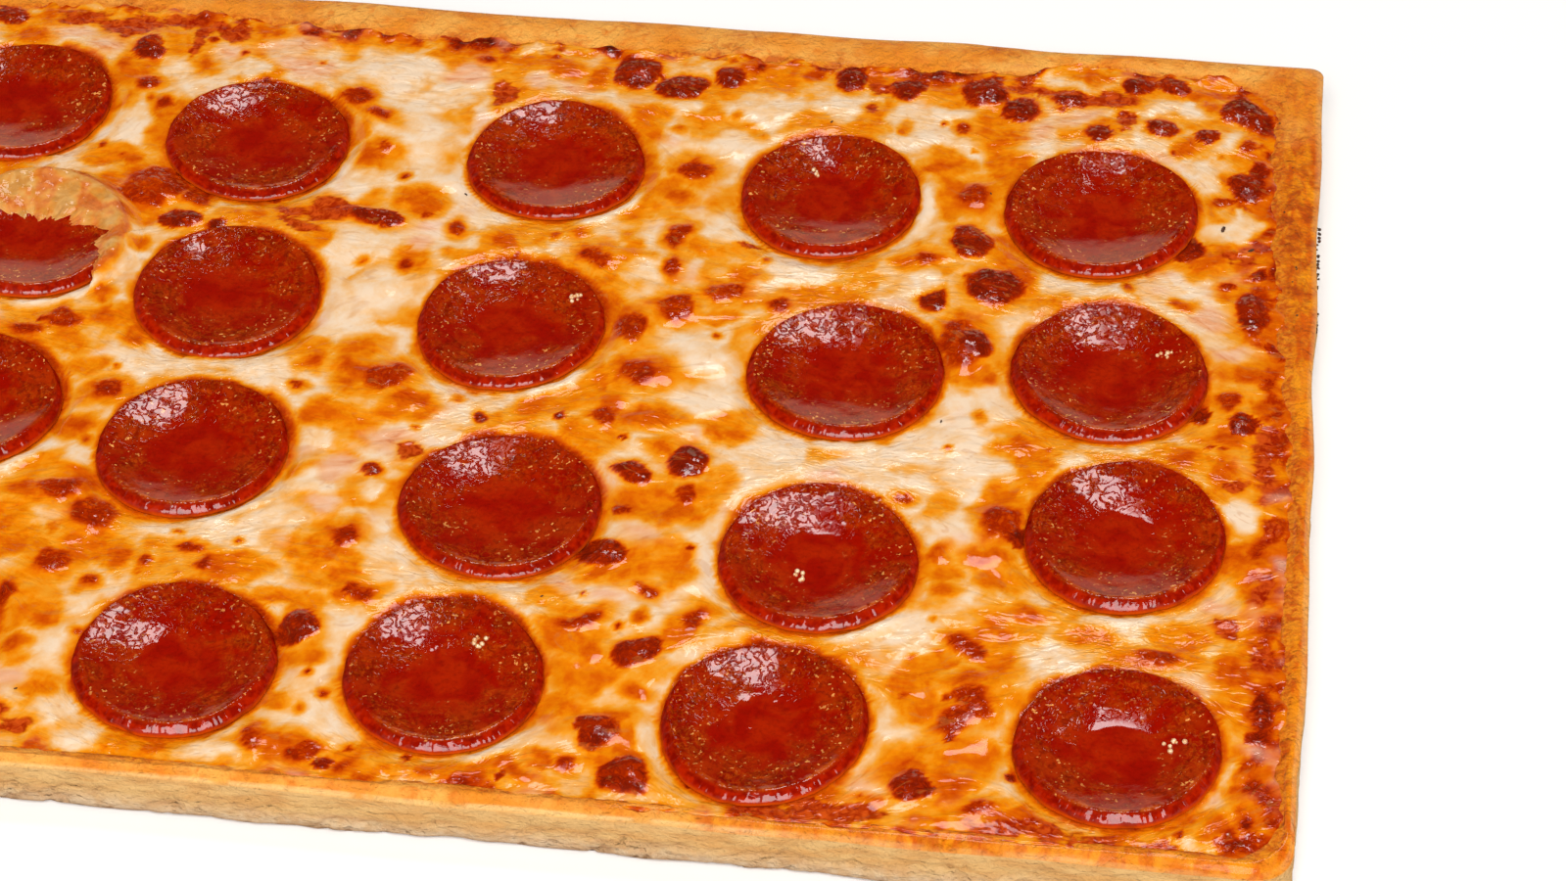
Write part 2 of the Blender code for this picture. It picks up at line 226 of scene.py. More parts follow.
def make_piece(name, mesh, finish, slot, *nodes):
    """Turns a bmesh in millimetres into a finished piece that rides on the pizza."""
    mesh.transform(Matrix.Scale(MM, 4))
    piece = add_mesh(name, mesh, finish)
    piece.data.shade_smooth()
    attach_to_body(piece, "root")
    if nodes:
        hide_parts(*nodes)
    return piece


def attach(piece, **fields):
    """Stores a value or a vector for each of the piece's points, for its finish to read."""
    for name, values in fields.items():
        values = np.asarray(values, np.float32)
        kind, field = ("FLOAT", "value") if values.ndim == 1 else ("FLOAT_VECTOR", "vector")
        piece.data.attributes.new(name, kind, "POINT").data.foreach_set(field, values.ravel())


BRIGHTNESS = 1.2  # of the light, where 1 would show a white thing as just white


def hue(red, green, blue):
    """A colour as it is seen on a screen in this bright light, from 0 to 255, made linear."""
    shares = np.array([red, green, blue]) / 255.0
    linear = np.where(shares <= 0.04045, shares / 12.92, ((shares + 0.055) / 1.055) ** 2.4)
    return (*(linear / BRIGHTNESS).tolist(), 1.0)


def mottle_group():
    """Blotches from noise at a place on the piece, cut to a mask between two levels."""
    group = bpy.data.node_groups.new("mottle", "ShaderNodeTree")
    socket = group.interface.new_socket
    for name, value in (("Scale", 100.0), ("Detail", 4.0), ("Distortion", 0.0), ("Low", 0.4), ("High", 0.6)):
        socket(name, in_out="INPUT", socket_type="NodeSocketFloat").default_value = value
    socket("Place", in_out="INPUT", socket_type="NodeSocketVector")
    socket("Stretch", in_out="INPUT", socket_type="NodeSocketVector").default_value = (1.0, 1.0, 1.0)
    socket("Mask", in_out="OUTPUT", socket_type="NodeSocketFloat")
    nodes, links = group.nodes, group.links
    given, result = nodes.new("NodeGroupInput"), nodes.new("NodeGroupOutput")
    stretch = nodes.new("ShaderNodeVectorMath")
    stretch.operation = "MULTIPLY"
    blotch = nodes.new("ShaderNodeTexNoise")
    level = nodes.new("ShaderNodeMapRange")
    level.interpolation_type = "SMOOTHSTEP"
    links.new(given.outputs["Place"], stretch.inputs[0])
    links.new(given.outputs["Stretch"], stretch.inputs[1])
    links.new(stretch.outputs["Vector"], blotch.inputs["Vector"])
    for name in ("Scale", "Detail", "Distortion"):
        links.new(given.outputs[name], blotch.inputs[name])
    links.new(blotch.outputs["Fac"], level.inputs["Value"])
    links.new(given.outputs["Low"], level.inputs["From Min"])
    links.new(given.outputs["High"], level.inputs["From Max"])
    links.new(level.outputs["Result"], result.inputs["Mask"])
    return group


MOTTLE = mottle_group()


class Tree:
    """The nodes of a material or of the room, added one step at a time."""

    def __init__(self, owner, place):
        owner.use_nodes = True
        self.nodes, self.links = owner.node_tree.nodes, owner.node_tree.links
        self.place = self.nodes.new("ShaderNodeTexCoord").outputs[place]

    def feed(self, socket, value):
        if isinstance(value, bpy.types.NodeSocket):
            self.links.new(value, socket)
        else:
            socket.default_value = value

    def attribute(self, name, output="Fac"):
        node = self.nodes.new("ShaderNodeAttribute")
        node.attribute_name = name
        return node.outputs[output]

    def mottle(
        self, size, low=0.4, high=0.6, detail=4.0, distortion=0.0, stretch=(1.0, 1.0, 1.0), place=None
    ):
        """Blotches about as wide as size, in millimetres."""
        node = self.nodes.new("ShaderNodeGroup")
        node.node_tree = MOTTLE
        self.feed(node.inputs["Place"], place or self.place)
        values = {"Scale": 1.0 / (size * MM), "Low": low, "High": high, "Detail": detail}
        values |= {"Distortion": distortion, "Stretch": stretch}
        for name, value in values.items():
            node.inputs[name].default_value = value
        return node.outputs["Mask"]

    def cells(self, size, low, high):
        """Small round dots, about size millimetres apart."""
        node = self.nodes.new("ShaderNodeTexVoronoi")
        node.inputs["Scale"].default_value = 1.0 / (size * MM)
        self.links.new(self.place, node.inputs["Vector"])
        return self.level(node.outputs["Distance"], low, high)

    def furrows(self, size, width, distortion=0.0, place=None):
        """Narrow winding lines, where smooth noise crosses its middle."""
        noise_value = self.mottle(size, 0.0, 1.0, 2.0, distortion, (1.0, 1.0, 1.0), place)
        offset = self.math("ABSOLUTE", self.add(noise_value, -0.5), 0.0)
        return self.level(offset, 0.0, width, 1.0, 0.0)

    def level(self, value, low, high, start=0.0, stop=1.0, course="SMOOTHSTEP"):
        """Goes from start to stop as the value goes from low to high."""
        node = self.nodes.new("ShaderNodeMapRange")
        node.interpolation_type = course
        self.feed(node.inputs["Value"], value)
        for name, number in (("From Min", low), ("From Max", high), ("To Min", start), ("To Max", stop)):
            node.inputs[name].default_value = number
        return node.outputs["Result"]

    def math(self, operation, first, second):
        node = self.nodes.new("ShaderNodeMath")
        node.operation = operation
        self.feed(node.inputs[0], first)
        self.feed(node.inputs[1], second)
        return node.outputs["Value"]

    def add(self, first, second):
        return self.math("ADD", first, second)

    def times(self, first, second):
        return self.math("MULTIPLY", first, second)

    def sway(self, value, mask, amount):
        """Raises the value where the mask is over a half, and lowers it where it is under."""
        return self.add(value, self.times(self.add(mask, -0.5), amount))

    def mix(self, share, first, second):
        node = self.nodes.new("ShaderNodeMix")
        node.data_type = "RGBA"
        self.feed(node.inputs["Factor"], share)
        self.feed(node.inputs["A"], first)
        self.feed(node.inputs["B"], second)
        return node.outputs["Result"]

    def tint(self, colour, mask, most, *shade):
        """Lays a shade over the colour where the mask is, by its most at the mask's whitest."""
        return self.mix(self.times(mask, most), colour, hue(*shade))

    def ramp(self, value, *stops):
        """Runs through colours, each given after the value where it stands."""
        node = self.nodes.new("ShaderNodeValToRGB")
        places = node.color_ramp.elements
        while len(places) < len(stops):
            places.new(1.0)
        for place, (position, *shade) in zip(places, stops):
            place.position = position
            place.color = hue(*shade)
        self.feed(node.inputs["Fac"], value)
        return node.outputs["Color"]

    def bump(self, height, distance, normal=None):
        node = self.nodes.new("ShaderNodeBump")
        node.inputs["Distance"].default_value = distance * MM
        self.feed(node.inputs["Height"], height)
        if normal is not None:
            self.links.new(normal, node.inputs["Normal"])
        return node.outputs["Normal"]


class Finish(Tree):
    """A material on one of the pieces."""

    def __init__(self, name):
        self.material = bpy.data.materials.new(name)
        super().__init__(self.material, "Object")

    def set(self, **values):
        """Sets the shader's sockets, named with underscores for spaces."""
        sockets = self.nodes["Principled BSDF"].inputs
        for name, value in values.items():
            self.feed(sockets[name.replace("_", " ").title().replace("Ior", "IOR")], value)
        return self.material


def crust_finish():
    """Golden and mottled on top, pale and floury on the sides, speckled brown where it caught. Its side's
    hollows carry painted shade, its foot a browned underside with painted contact shadow, and its top edge a
    painted highlight.
    """
    paint = Finish("baked_dough")
    top, toast, flour, stain = (paint.attribute(name) for name in ("top", "toast", "flour", "stain"))
    foot, brink, hollow = paint.attribute("foot"), paint.attribute("brink"), paint.attribute("hollow")
    golden = paint.mix(paint.mottle(14.0, 0.36, 0.64, 3.0), hue(252, 180, 84), hue(243, 146, 40))
    golden = paint.mix(paint.mottle(2.6, 0.45, 0.8, 4.0, 0.6), golden, hue(235, 132, 40))
    layered = paint.mottle(7.0, 0.35, 0.65, 4.0, 0.0, (1.0, 1.0, 3.0))
    pale = paint.mix(layered, hue(222, 179, 118), hue(213, 161, 98))
    dusted = paint.mix(paint.mottle(2.2, 0.35, 0.65, 5.0), hue(216, 194, 166), hue(203, 171, 136))
    pale = paint.mix(flour, pale, dusted)
    # painted shade: the side's pits and flake grooves are darkened as if in shadow
    pale = paint.tint(pale, hollow, 0.45, 176, 128, 84)
    # the very foot is darkened, partly as the browned underside and partly as a painted contact shadow on
    # the table
    pale = paint.tint(pale, foot, 0.85, 134, 90, 50)
    colour = paint.mix(top, pale, golden)
    marbled = paint.mottle(6.0, 0.36, 0.64, 2.0, 1.2, (1.8, 0.6, 1.0))
    marbled = paint.mix(marbled, hue(252, 148, 8), hue(224, 98, 0))
    oiled = paint.mottle(7.0, 0.52, 0.64, 2.0, 1.0, (2.0, 0.7, 1.0))
    marbled = paint.tint(marbled, oiled, 0.4, 255, 168, 36)
    colour = paint.mix(toast, colour, marbled)
    speckle = paint.times(paint.attribute("caught"), paint.mottle(2.6, 0.36, 0.66, 4.0, 0.6))
    colour = paint.tint(colour, speckle, 0.9, 180, 68, 2)
    # painted highlight: a pale line along the rim's outer top edge, where its crisp edge catches the light
    colour = paint.mix(paint.times(brink, paint.mottle(6.0, 0.3, 0.5, 2.0)), colour, hue(253, 214, 144))
    baked = paint.mix(paint.mottle(1.8, 0.35, 0.65, 5.0, 1.0), hue(244, 146, 30), hue(200, 78, 8))
    colour = paint.mix(stain, colour, baked)
    fine = paint.mottle(0.7, 0.3, 0.7, 6.0)
    folds = paint.mottle(3.5, 0.3, 0.7, 4.0, 0.8, (1.0, 1.0, 2.5))
    normal = paint.bump(fine, 0.15, paint.bump(folds, 0.35))
    return paint.set(
        base_color=colour, normal=normal, roughness=paint.level(top, 0.0, 1.0, 0.75, 0.5),
        specular_ior_level=0.08, coat_weight=paint.times(toast, 0.32), coat_roughness=0.12,
    )


def make_crust():
    crest = outline(inner_reach(0.0), INNER_CORNERS)
    shoulder = outline(inner_reach(-RIM_SHOULDER), INNER_CORNERS)
    outer = outline(outer_reach(1.0, 2.0), OUTER_CORNERS)
    middle = blend_rings(outer, shoulder, 0.5)
    bed = outline(inner_reach(0.5), INNER_CORNERS)
    swell = 0.35 * ripple(middle[:, 0], middle[:, 1], 19.0, 5.0)
    rings = []
    for height in SIDE_HEIGHTS:
        tuck = np.interp(height, (0.0, 1.1, 4.2, 8.2, BROW), (1.9, 0.5, 0.1, 0.2, 0.4))
        rings.append((side_ring(tuck, height, 1.6 + 0.035 * height), height, 0.0))
    brow = rings[-1][0]
    for share in (0.35, 0.75):
        ring = blend_rings(brow, outer, share)
        rings.append((ring, BROW + share * (0.4 + 0.5 * swell), 0.5 * share + 0.3))
    for share in np.linspace(0.12, 1.0, 10):
        ring = blend_rings(outer, shoulder, share)
        crown = 1.0 - (2.0 * share - 1.0) ** 2
        height = 11.75 + share * -0.15 + 0.45 * crown + swell * (0.5 + 0.5 * crown)
        rings.append((ring, height, 1.0))
    for share in (0.3, 0.65, 1.0):
        ring = blend_rings(shoulder, crest, share)
        rings.append((ring, SHOULDER + share**1.5 * (CREST - SHOULDER), 1.0))
    rings.append((bed, BED, 1.0))
    mesh = bmesh.new()
    loops, tops = [], []
    for level, (ring, height, top) in enumerate(rings):
        x, y = ring.T
        z = np.broadcast_to(height, x.shape).copy()
        from_edge = np.hypot(x - outer[:, 0], y - outer[:, 1])
        z *= 1.0 - 0.1 * smooth((-y - 103.0) / 8.0) * smooth(1.1 - from_edge / 3.4)
        if len(SIDE_HEIGHTS) <= level < len(rings) - 1:
            z += 0.1 * grain(x, y, 0.0, 6.0, 4, 2.0)
        verts = [mesh.verts.new(place) for place in np.stack([x, y, z], -1).tolist()]
        loops.append([mesh.edges.new((verts[i - 1], verts[i])) for i in range(len(verts))])
        tops += [top] * len(verts)
    for lower, upper in zip(loops, loops[1:]):
        bmesh.ops.bridge_loops(mesh, edges=lower + upper)
    bmesh.ops.contextual_create(mesh, geom=loops[0])
    bmesh.ops.contextual_create(mesh, geom=loops[-1])
    bmesh.ops.recalc_face_normals(mesh, faces=mesh.faces)
    x, y, z = points(mesh)
    piece = make_piece("crust_baked", mesh, crust_finish(), "crust", "crust")
    tops = np.array(tops)
    right = smooth((x - 150.0) / 8.0)
    ahead = smooth((x - 30.0) / 60.0) * smooth((-y - 100.0) / 5.0)
    spots = 0.5 * smooth(grain(x, y, 0.0, 22.0, 2, 6.0) * 2.0)
    across_fold = np.abs((x - 156.0) + (y + 106.0)) / 1.4142
    along_fold = np.abs((x - 156.0) - (y + 106.0)) / 1.4142
    toast = right * (1.1 - 0.5 * smooth((y - 75.0) / 20.0) + 0.5 * grain(x, y, 0.0, 14.0, 2))
    toast += 0.6 * spots + 0.75 * ahead
    toast += 1.5 * smooth(1.0 - across_fold / 1.6) * smooth(1.0 - along_fold / 7.0)
    caught = right * hump(y, 56.0, 48.0) * (1.3 + 0.8 * grain(x, y, 0.0, 9.0, 2, 5.0))
    inner, edge = np.tile(crest, (len(rings), 1)), np.tile(outer, (len(rings), 1))
    gap = np.hypot(x - inner[:, 0], y - inner[:, 1])
    from_edge = np.hypot(x - edge[:, 0], y - edge[:, 1])
    browned = 1.8 + 2.4 * right + 0.8 * smooth((y - 60.0) / 30.0)
    stain = 0.8 * smooth((browned + 2.4 * grain(x, y, 0.0, 6.0, 3, 8.0) - gap) / 2.0)
    # painted highlight along the top edge of the side, at the front and right
    brink = np.exp(-(((from_edge - 0.2) / 0.35) ** 2))
    brink *= np.maximum(smooth((-y - 95.0) / 10.0) * (1.0 - 0.7 * ahead), 0.3 * right)
    # foot: browned underside and painted contact shadow; hollow: painted shade in the side's pits and
    # grooves
    attach(
        piece, top=tops, toast=np.clip(toast * tops, 0.0, 1.0), stain=stain * tops,
        caught=np.clip(np.maximum(caught, spots) * tops, 0.0, 1.0), brink=brink * tops,
        flour=1.0 - smooth(z / 7.0), foot=1.0 - smooth((z - 0.3) / 2.0),
        hollow=hollows(x, y, z) * (1.0 - tops),
    )


make_crust()


# Sauce
# Cooked tomato spread thinly on the dough before the cheese went on. Only its edge shows, where the cheese
# stops short of the rim.


def sauce_finish():
    paint = Finish("tomato")
    colour = paint.mix(paint.mottle(2.5), hue(150, 28, 10), hue(196, 62, 18))
    return paint.set(base_color=colour, roughness=0.3, normal=paint.bump(paint.mottle(1.2), 0.2))


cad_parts["sauce"].data.materials.clear()
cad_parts["sauce"].data.materials.append(sauce_finish())


# Pepperoni, its places
# Thin slices of cured sausage an inch and a half across, laid on the cheese before baking. The cheese
# sags under them, so their places come first.

SLICE_THICKNESS, SLICE_BASE, SLICE_LIFT = 1.35, 9.95, 2.28
SLICE_TILT, SLICE_LEAN, UNDERSIDE_CURL = 0.01, 0.0003, 0.45
SLICES = (  # centre x, centre y and radius, row by row from the back left
    (-116, 71, 19.5), (-61.5, 64.1, 19.4), (3.2, 64.3, 19.1), (62.5, 59.1, 19.1), (119.5, 59.7, 20),
    (-101, 27.6, 19), (-56.8, 15.4, 19.3), (2.7, 12.3, 19.1), (71.8, 5.5, 19.5), (124, 11, 19.6),
    (-101, -22.9, 19.4), (-53, -30.5, 18.7), (10, -39.2, 19.4), (72.4, -46.4, 19.1), (129.5, -34.5, 19.4),
    (-97, -84.4, 19.1), (-42.5, -86.1, 18.8), (7.4, -83.9, 18.7), (67.4, -88.8, 19.1), (131.4, -87.6, 18.6),
)


class Slice:
    """One slice: its place, its curl and its lean, which vary with its number."""

    def __init__(self, number, x, y, radius):
        self.number, self.x, self.y, self.radius = number, x, y, radius
        self.lift = SLICE_LIFT * (1.0 + 0.2 * math.sin(5.1 * number))
        self.lean = SLICE_TILT * np.array([math.cos(2.4 * number), math.sin(2.4 * number)])
        self.lean[0] += SLICE_LEAN * max(-100.0, min(100.0, x - 42.0))
        self.phase = 1.7 * number

    def out_of_round(self, angle):
        return 1.0 + 0.014 * np.sin(2 * angle + self.phase) + 0.009 * np.sin(3 * angle - self.phase)

    def curl(self, share, angle):
        wave = 1.0 + 0.18 * np.sin(2 * angle + 1.3 * self.phase) + 0.1 * np.sin(3 * angle + self.phase)
        return self.lift * wave * np.clip((share - 0.28) / 0.72, 0.0, 1.0) ** 1.4

    def surface(self, dx, dy, side):
        """Height of the underside, the upper side or what is between, for side from 0 to 1."""
        share = np.minimum(1.0, np.hypot(dx, dy) / self.radius)
        curl = self.curl(share, np.arctan2(dy, dx)) * (UNDERSIDE_CURL + (1.0 - UNDERSIDE_CURL) * side)
        return SLICE_BASE + side * SLICE_THICKNESS + curl + self.lean[0] * dx + self.lean[1] * dy

    def top(self, dx, dy, side=1.0):
        """The same for the finished slice, whose middle the fat kept level."""
        level = smooth(1.6 - 1.8 * np.hypot(dx, dy) / self.radius)
        return self.surface(dx, dy, side) - side * level * (self.lean[0] * dx + self.lean[1] * dy)

    def beyond(self, x, y):
        """Distance outside the rim, negative inside."""
        dx, dy = x - self.x, y - self.y
        return np.hypot(dx, dy) - self.radius * self.out_of_round(np.arctan2(dy, dx))


slices = [Slice(number, *place) for number, place in enumerate(SLICES)]


# Cheese
# Shredded mozzarella that melted into one sheet. It stayed creamy where it is thick, soaked up orange fat
# round the slices, and browned into blisters where it bubbled. Where it is thin the sauce shows through.
# Where it meets each slice it is darkened by painted contact shadow as well as by fat.

CHEESE_LENGTH, CHEESE_WIDTH, CHEESE_SPACING = 318.0, 216.0, 0.86
CHEESE_LEVEL, CHEESE_FOOT = 11.2, 9.1
CHEESE_SPILL = (0.6, 2.4)  # least and most that it reaches over the rim's shoulder
WELL_INSIDE = 50.0  # a distance from the edge at which it has no effect
# Patches of each kind: x, y, half length, half width, and the turn in degrees where there is one. Those
# left of a line from x = -130 at the back to x = -70 at the front are guessed.
CREAM = (
    (-68, 89, 4, 3), (-38, 91, 9, 6), (-88, 66, 7, 9), (-28, 70, 9, 12), (-25, 84, 6, 5),
    (27, 86, 6, 3.5, 10), (44, 86, 9, 4), (60, 90, 8, 3), (38, 75, 7, 5), (85, 90, 6, 3), (80, 80, 9, 4),
    (129, 97, 6, 3, 20), (137, 97, 4, 3), (146, 87, 6, 3), (140, 73, 4, 5), (146, 58, 5, 3),
    (151, 61, 4, 3), (93, 55, 4, 2), (48, 48, 8, 5), (60, 35, 8, 4), (-22, 55, 9, 6), (-30, 33, 6, 5),
    (-25, 20, 8, 8), (-3, 47, 7, 3), (42, 8, 8, 6), (45, -5, 7, 5), (84, 35, 5, 4), (118, 38, 8, 3),
    (103, 25, 3, 7, -15), (95, -14, 10, 8), (103, -20, 6, 7), (88, -24, 6, 4), (85, -16, 4, 3),
    (53, -22, 4, 5), (49, -46, 4, 6), (42, -65, 5, 3, 20), (22, -68, 4, 3), (48, -95, 4, 5),
    (115, -45, 6, 3), (130, -57, 8, 4), (92, -62, 7, 5), (90, -88, 6, 6), (113, -97, 4, 4),
    (111, -102, 3, 2), (145, -107, 4, 3), (151, -25, 3, 4), (150, -33, 3, 2), (144, -16, 3, 2),
    (-63, -99, 5, 6), (-55, -106, 4, 3), (-62, -85, 6, 7), (-12, -96, 9, 7), (-14, -84, 4, 7),
    (-16, -38, 3, 3), (-18, -46, 3, 3), (-27, -36, 5, 4), (-45, -7, 7, 4), (-70, -8, 5, 4),
    (-74, -34, 4, 6), (-50, -53, 6, 4), (-30, -106, 3, 3), (-35, -107, 3, 2), (-27, -78, 3, 4),
    (150, -90, 4, 3), (62, -68, 6, 2), (-128, 45, 8, 5, 20), (-130, -45, 7, 8), (-142, 22, 6, 8),
    (-146, -80, 6, 5), (-138, 92, 7, 5), (-124, -5, 5, 6), (-120, -58, 7, 4), (-150, -15, 4, 8),
    (-142, 62, 5, 7), (-118, -104, 6, 4),
)
PINK = (
    (-103, 95, 5, 6), (-112, 97, 7, 3), (-62, 97, 7, 4), (-57, 91, 7, 4, -20), (-74, 94, 5, 3),
    (-4, 92, 4, 3), (-21, 92, 6, 3), (4, 92, 5, 4), (110, 92, 8, 4), (103, 87, 6, 5), (129, 80, 5, 3),
    (133, 44, 5, 4), (143, 30, 4, 4), (149, 20, 5, 3), (-77, 57, 4, 3), (-21, 35, 3, 3),
    (-14, -24, 7, 4, -15), (-23, -32, 5, 3), (-24, -42, 4, 3), (38, -44, 6, 3), (25, -57, 5, 3),
    (27, -92, 4, 4), (88, -100, 5, 3), (-72, -92, 4, 3), (-85, 15, 4, 4), (147, -50, 4, 3),
    (146, -70, 4, 3), (125, -104, 5, 3), (147, -98, 3, 3), (72, -12, 5, 2), (-150, 40, 4, 7),
    (-152, -55, 4, 6), (-134, -104, 7, 3), (-132, 102, 7, 3),
)
AMBER = (
    (-83, 68, 3, 9), (-92, 57, 6, 3), (-80, 38, 5, 4), (-60, 40, 6, 3), (-25, 99, 7, 2), (-8, 98, 10, 3),
    (14, 105, 4, 3), (47, 98, 6, 6), (21, 78, 4, 7), (22, 65, 4, 7), (23, 54, 5, 6), (28, 58, 4, 4),
    (85, 98, 6, 4), (96, 86, 6, 9), (112, 107, 6, 3), (143, 106, 5, 3), (99, 73, 5, 7), (88, 62, 4, 8),
    (100, 46, 5, 6), (24, 38, 3, 4), (38, 39, 3, 3), (22, 18, 3, 6), (44, 20, 4, 2), (48, 33, 4, 3),
    (97, 8, 4, 4), (85, 72, 7, 3), (148, 38, 4, 3), (-74, 6, 4, 4), (-85, -3, 5, 4), (-80, -9, 5, 3),
    (-80, -28, 4, 3), (-78, -40, 10, 4, -15), (-83, -52, 5, 4), (-80, -59, 6, 4), (-66, -58, 7, 4),
    (-70, -76, 5, 4), (-77, -78, 4, 4), (-66, -95, 4, 2), (-46, -106, 5, 3), (-38, -61, 8, 4),
    (-29, -17, 5, 4), (-14, -14, 7, 4), (-17, -59, 4, 7, 10), (-28, -67, 5, 2), (-20, -82, 5, 2),
    (-25, -93, 6, 2), (-4, -107, 10, 2), (16, -106, 8, 3), (15, -9, 9, 4, 20), (22, -3, 4, 6),
    (24, -18, 6, 5), (50, -12, 6, 3), (50, -30, 4, 5), (38, -35, 7, 5), (27, -43, 2, 6), (36, -52, 7, 6),
    (46, -51, 3, 6), (30, -72, 7, 5), (34, -80, 5, 5), (47, -70, 6, 3, 40), (111, -17, 4, 7),
    (136, -9, 6, 3), (105, -27, 5, 6), (94, -46, 5, 4), (108, -48, 6, 4), (108, -64, 4, 10, 10),
    (94, -78, 5, 7), (96, -70, 4, 3), (125, -61, 7, 3), (141, -58, 6, 3), (150, -74, 3, 4), (58, 16, 2, 6),
    (30, -90, 7, 4), (105, -92, 6, 5), (79, -12, 3, 2), (-10, 33, 5, 2), (-34, 62, 5, 5), (-95, 84, 6, 5),
    (64, 29, 8, 2), (118, 88, 5, 3), (-138, 36, 8, 6), (-135, -20, 9, 6, 30), (-140, -60, 7, 9),
    (-132, -92, 8, 6), (-150, 78, 5, 9), (-124, 18, 4, 6), (-126, -70, 6, 4), (-148, 5, 5, 5),
    (-112, 47, 6, 3), (-115, 1, 6, 3),
)
ORANGE = (
    (-68, 102, 5, 2.5), (-97, 87, 3, 3), (-79, 89, 3, 4), (-37, 62, 3.5, 3.5), (-90, 45, 6, 5),
    (-88, 56, 3, 2), (-82, 12, 3, 3), (-80, 5, 4, 3), (-72, 1, 3, 3), (-13, 99, 3, 2), (0, 96, 5, 3),
    (8, 95, 3, 4), (40, 100, 4, 3), (54, 100, 2, 2), (68, 99, 3, 3), (28, 78, 1.8, 1.4), (31, 56, 3.5, 2.5),
    (11, 43, 3, 3), (-3, 38, 4, 4), (-23, 48, 5, 4), (-27, 3, 5, 3), (27, -8, 3, 4), (116, 107, 4, 3),
    (136, 103, 4, 3), (141, 100, 3, 3), (76, 84, 2, 1.8), (84, 71, 6, 2, 10), (93, 62, 6, 6),
    (104, 38, 4, 6), (83, 41, 5, 4), (101, 7, 2.5, 2), (141, 47, 5, 4), (138, 34, 3, 2), (154, 63, 2, 7),
    (137, 84, 4, 3), (152, 14, 6, 3), (156, 2, 3, 9), (155, 25, 3, 8), (-77, -26, 3, 3), (-82, -45, 5, 4),
    (-72, -42, 5, 4), (-60, -61, 3, 3), (-70, -77, 2.4, 2.4), (-74, -86, 3, 3), (-42, -107, 5, 2),
    (-40, -61, 5, 3), (-34, -3, 3, 3), (-26, -5, 4, 6), (-14, -12, 5, 3), (-22, -55, 3, 4),
    (-16, -66, 3, 3), (-25, -93, 3, 1.5), (-21, -103, 7, 4), (8, -107, 3, 2), (23, -105, 3, 3),
    (35, -11, 7, 3), (38, -19, 4, 3), (31, -54, 4, 3), (34, -75, 3, 3), (43, -84, 3, 3), (40, -90, 5, 2),
    (29, -101, 3, 2), (107, -11, 3, 4), (104, -42, 5, 3), (95, -42, 3, 2.5), (97, -52, 3, 2.5),
    (112, -57, 4, 3, -20), (104, -74, 6, 4, 50), (95, -96, 6, 4), (103, -98, 4, 2), (141, -102, 6, 4),
    (151, -104, 4, 4), (151, -66, 4, 5), (152, -37, 4, 4), (147, -14, 4, 4), (141, -11, 3, 3),
    (148, -4, 4, 4), (136, -65, 9, 4), (44, -37, 4, 5), (-78, 28, 2, 2), (-150, -5, 3, 6), (-132, 56, 4, 3),
    (-120, 95, 5, 3), (-138, -106, 5, 2), (-152, -95, 3, 5),
)
BROWN = (
    (-90, 81, 4, 3), (-43, 81, 4, 4), (-37, 75, 4.5, 2.5, -30), (-84, 74, 3, 3), (-79, 49, 10, 6),
    (-82, 44, 7, 5), (-70, 46, 4, 5), (-36, 43, 7, 3, 5), (-88, 4, 5, 4), (-34, 65, 2.5, 2.5),
    (-18, 97, 3, 2.5), (33, 65, 5, 4.5), (17, 35, 6, 4, -10), (33, 43, 3, 5), (32.5, 34, 2.5, 5),
    (45, 27, 5, 4), (56, 25, 3.5, 3), (35, 21, 6, 4.5), (27, 14, 4.5, 6, 20), (-14, 41, 2.2, 2.8),
    (-22, 28, 1.8, 2.5), (31, 1, 6, 5), (-20, -6, 6, 5.5), (88, 85.5, 2, 2), (93, 63, 4, 4),
    (83.5, 41.5, 3.5, 3.5), (94, 17, 5.5, 9, -8), (145, 67, 5, 2), (146, 40, 2, 2), (150, 86, 2.5, 3),
    (-95, 0, 6, 3), (-74, -16, 5, 3.5), (-76, -44, 6, 4), (-67, -50, 7, 5, -20), (-72, -63, 5.5, 4.5),
    (-64, -68, 2.5, 2), (-55, -62, 2, 2), (-78, -72, 3, 4), (-36, -10, 2, 1.5), (-18, -50, 4, 4),
    (-12, -65, 4, 3), (-14, -104, 3.5, 3), (-24, -103, 3, 4), (26, -11, 3, 4), (34, -38, 2.5, 2.5),
    (44, -32, 3, 4), (41, -58, 3, 3), (30, -67, 6, 2.5, 20), (51, -65, 3, 5, -20), (34, -102, 3, 2.5),
    (87, -28, 2.5, 2), (106, -33, 4, 6), (102, -65, 4, 3.5), (105, -79, 5, 4, 50), (101, -84, 5, 3.5, 20),
    (108, -104, 4, 3), (138, -64, 7, 3), (156, -106, 5, 2, 50), (148, 6, 4, 4), (-47, -57, 3, 2),
    (-43, -61, 2, 2), (-139, 40, 5, 4), (-134, -52, 6, 4), (-120, -46, 4, 3), (-140, -97, 5, 4),
    (-147, 62, 3, 5), (-125, -24, 4, 3), (-124, 50, 3, 3), (-136, 8, 4, 5), (-128, -68, 3, 4),
)
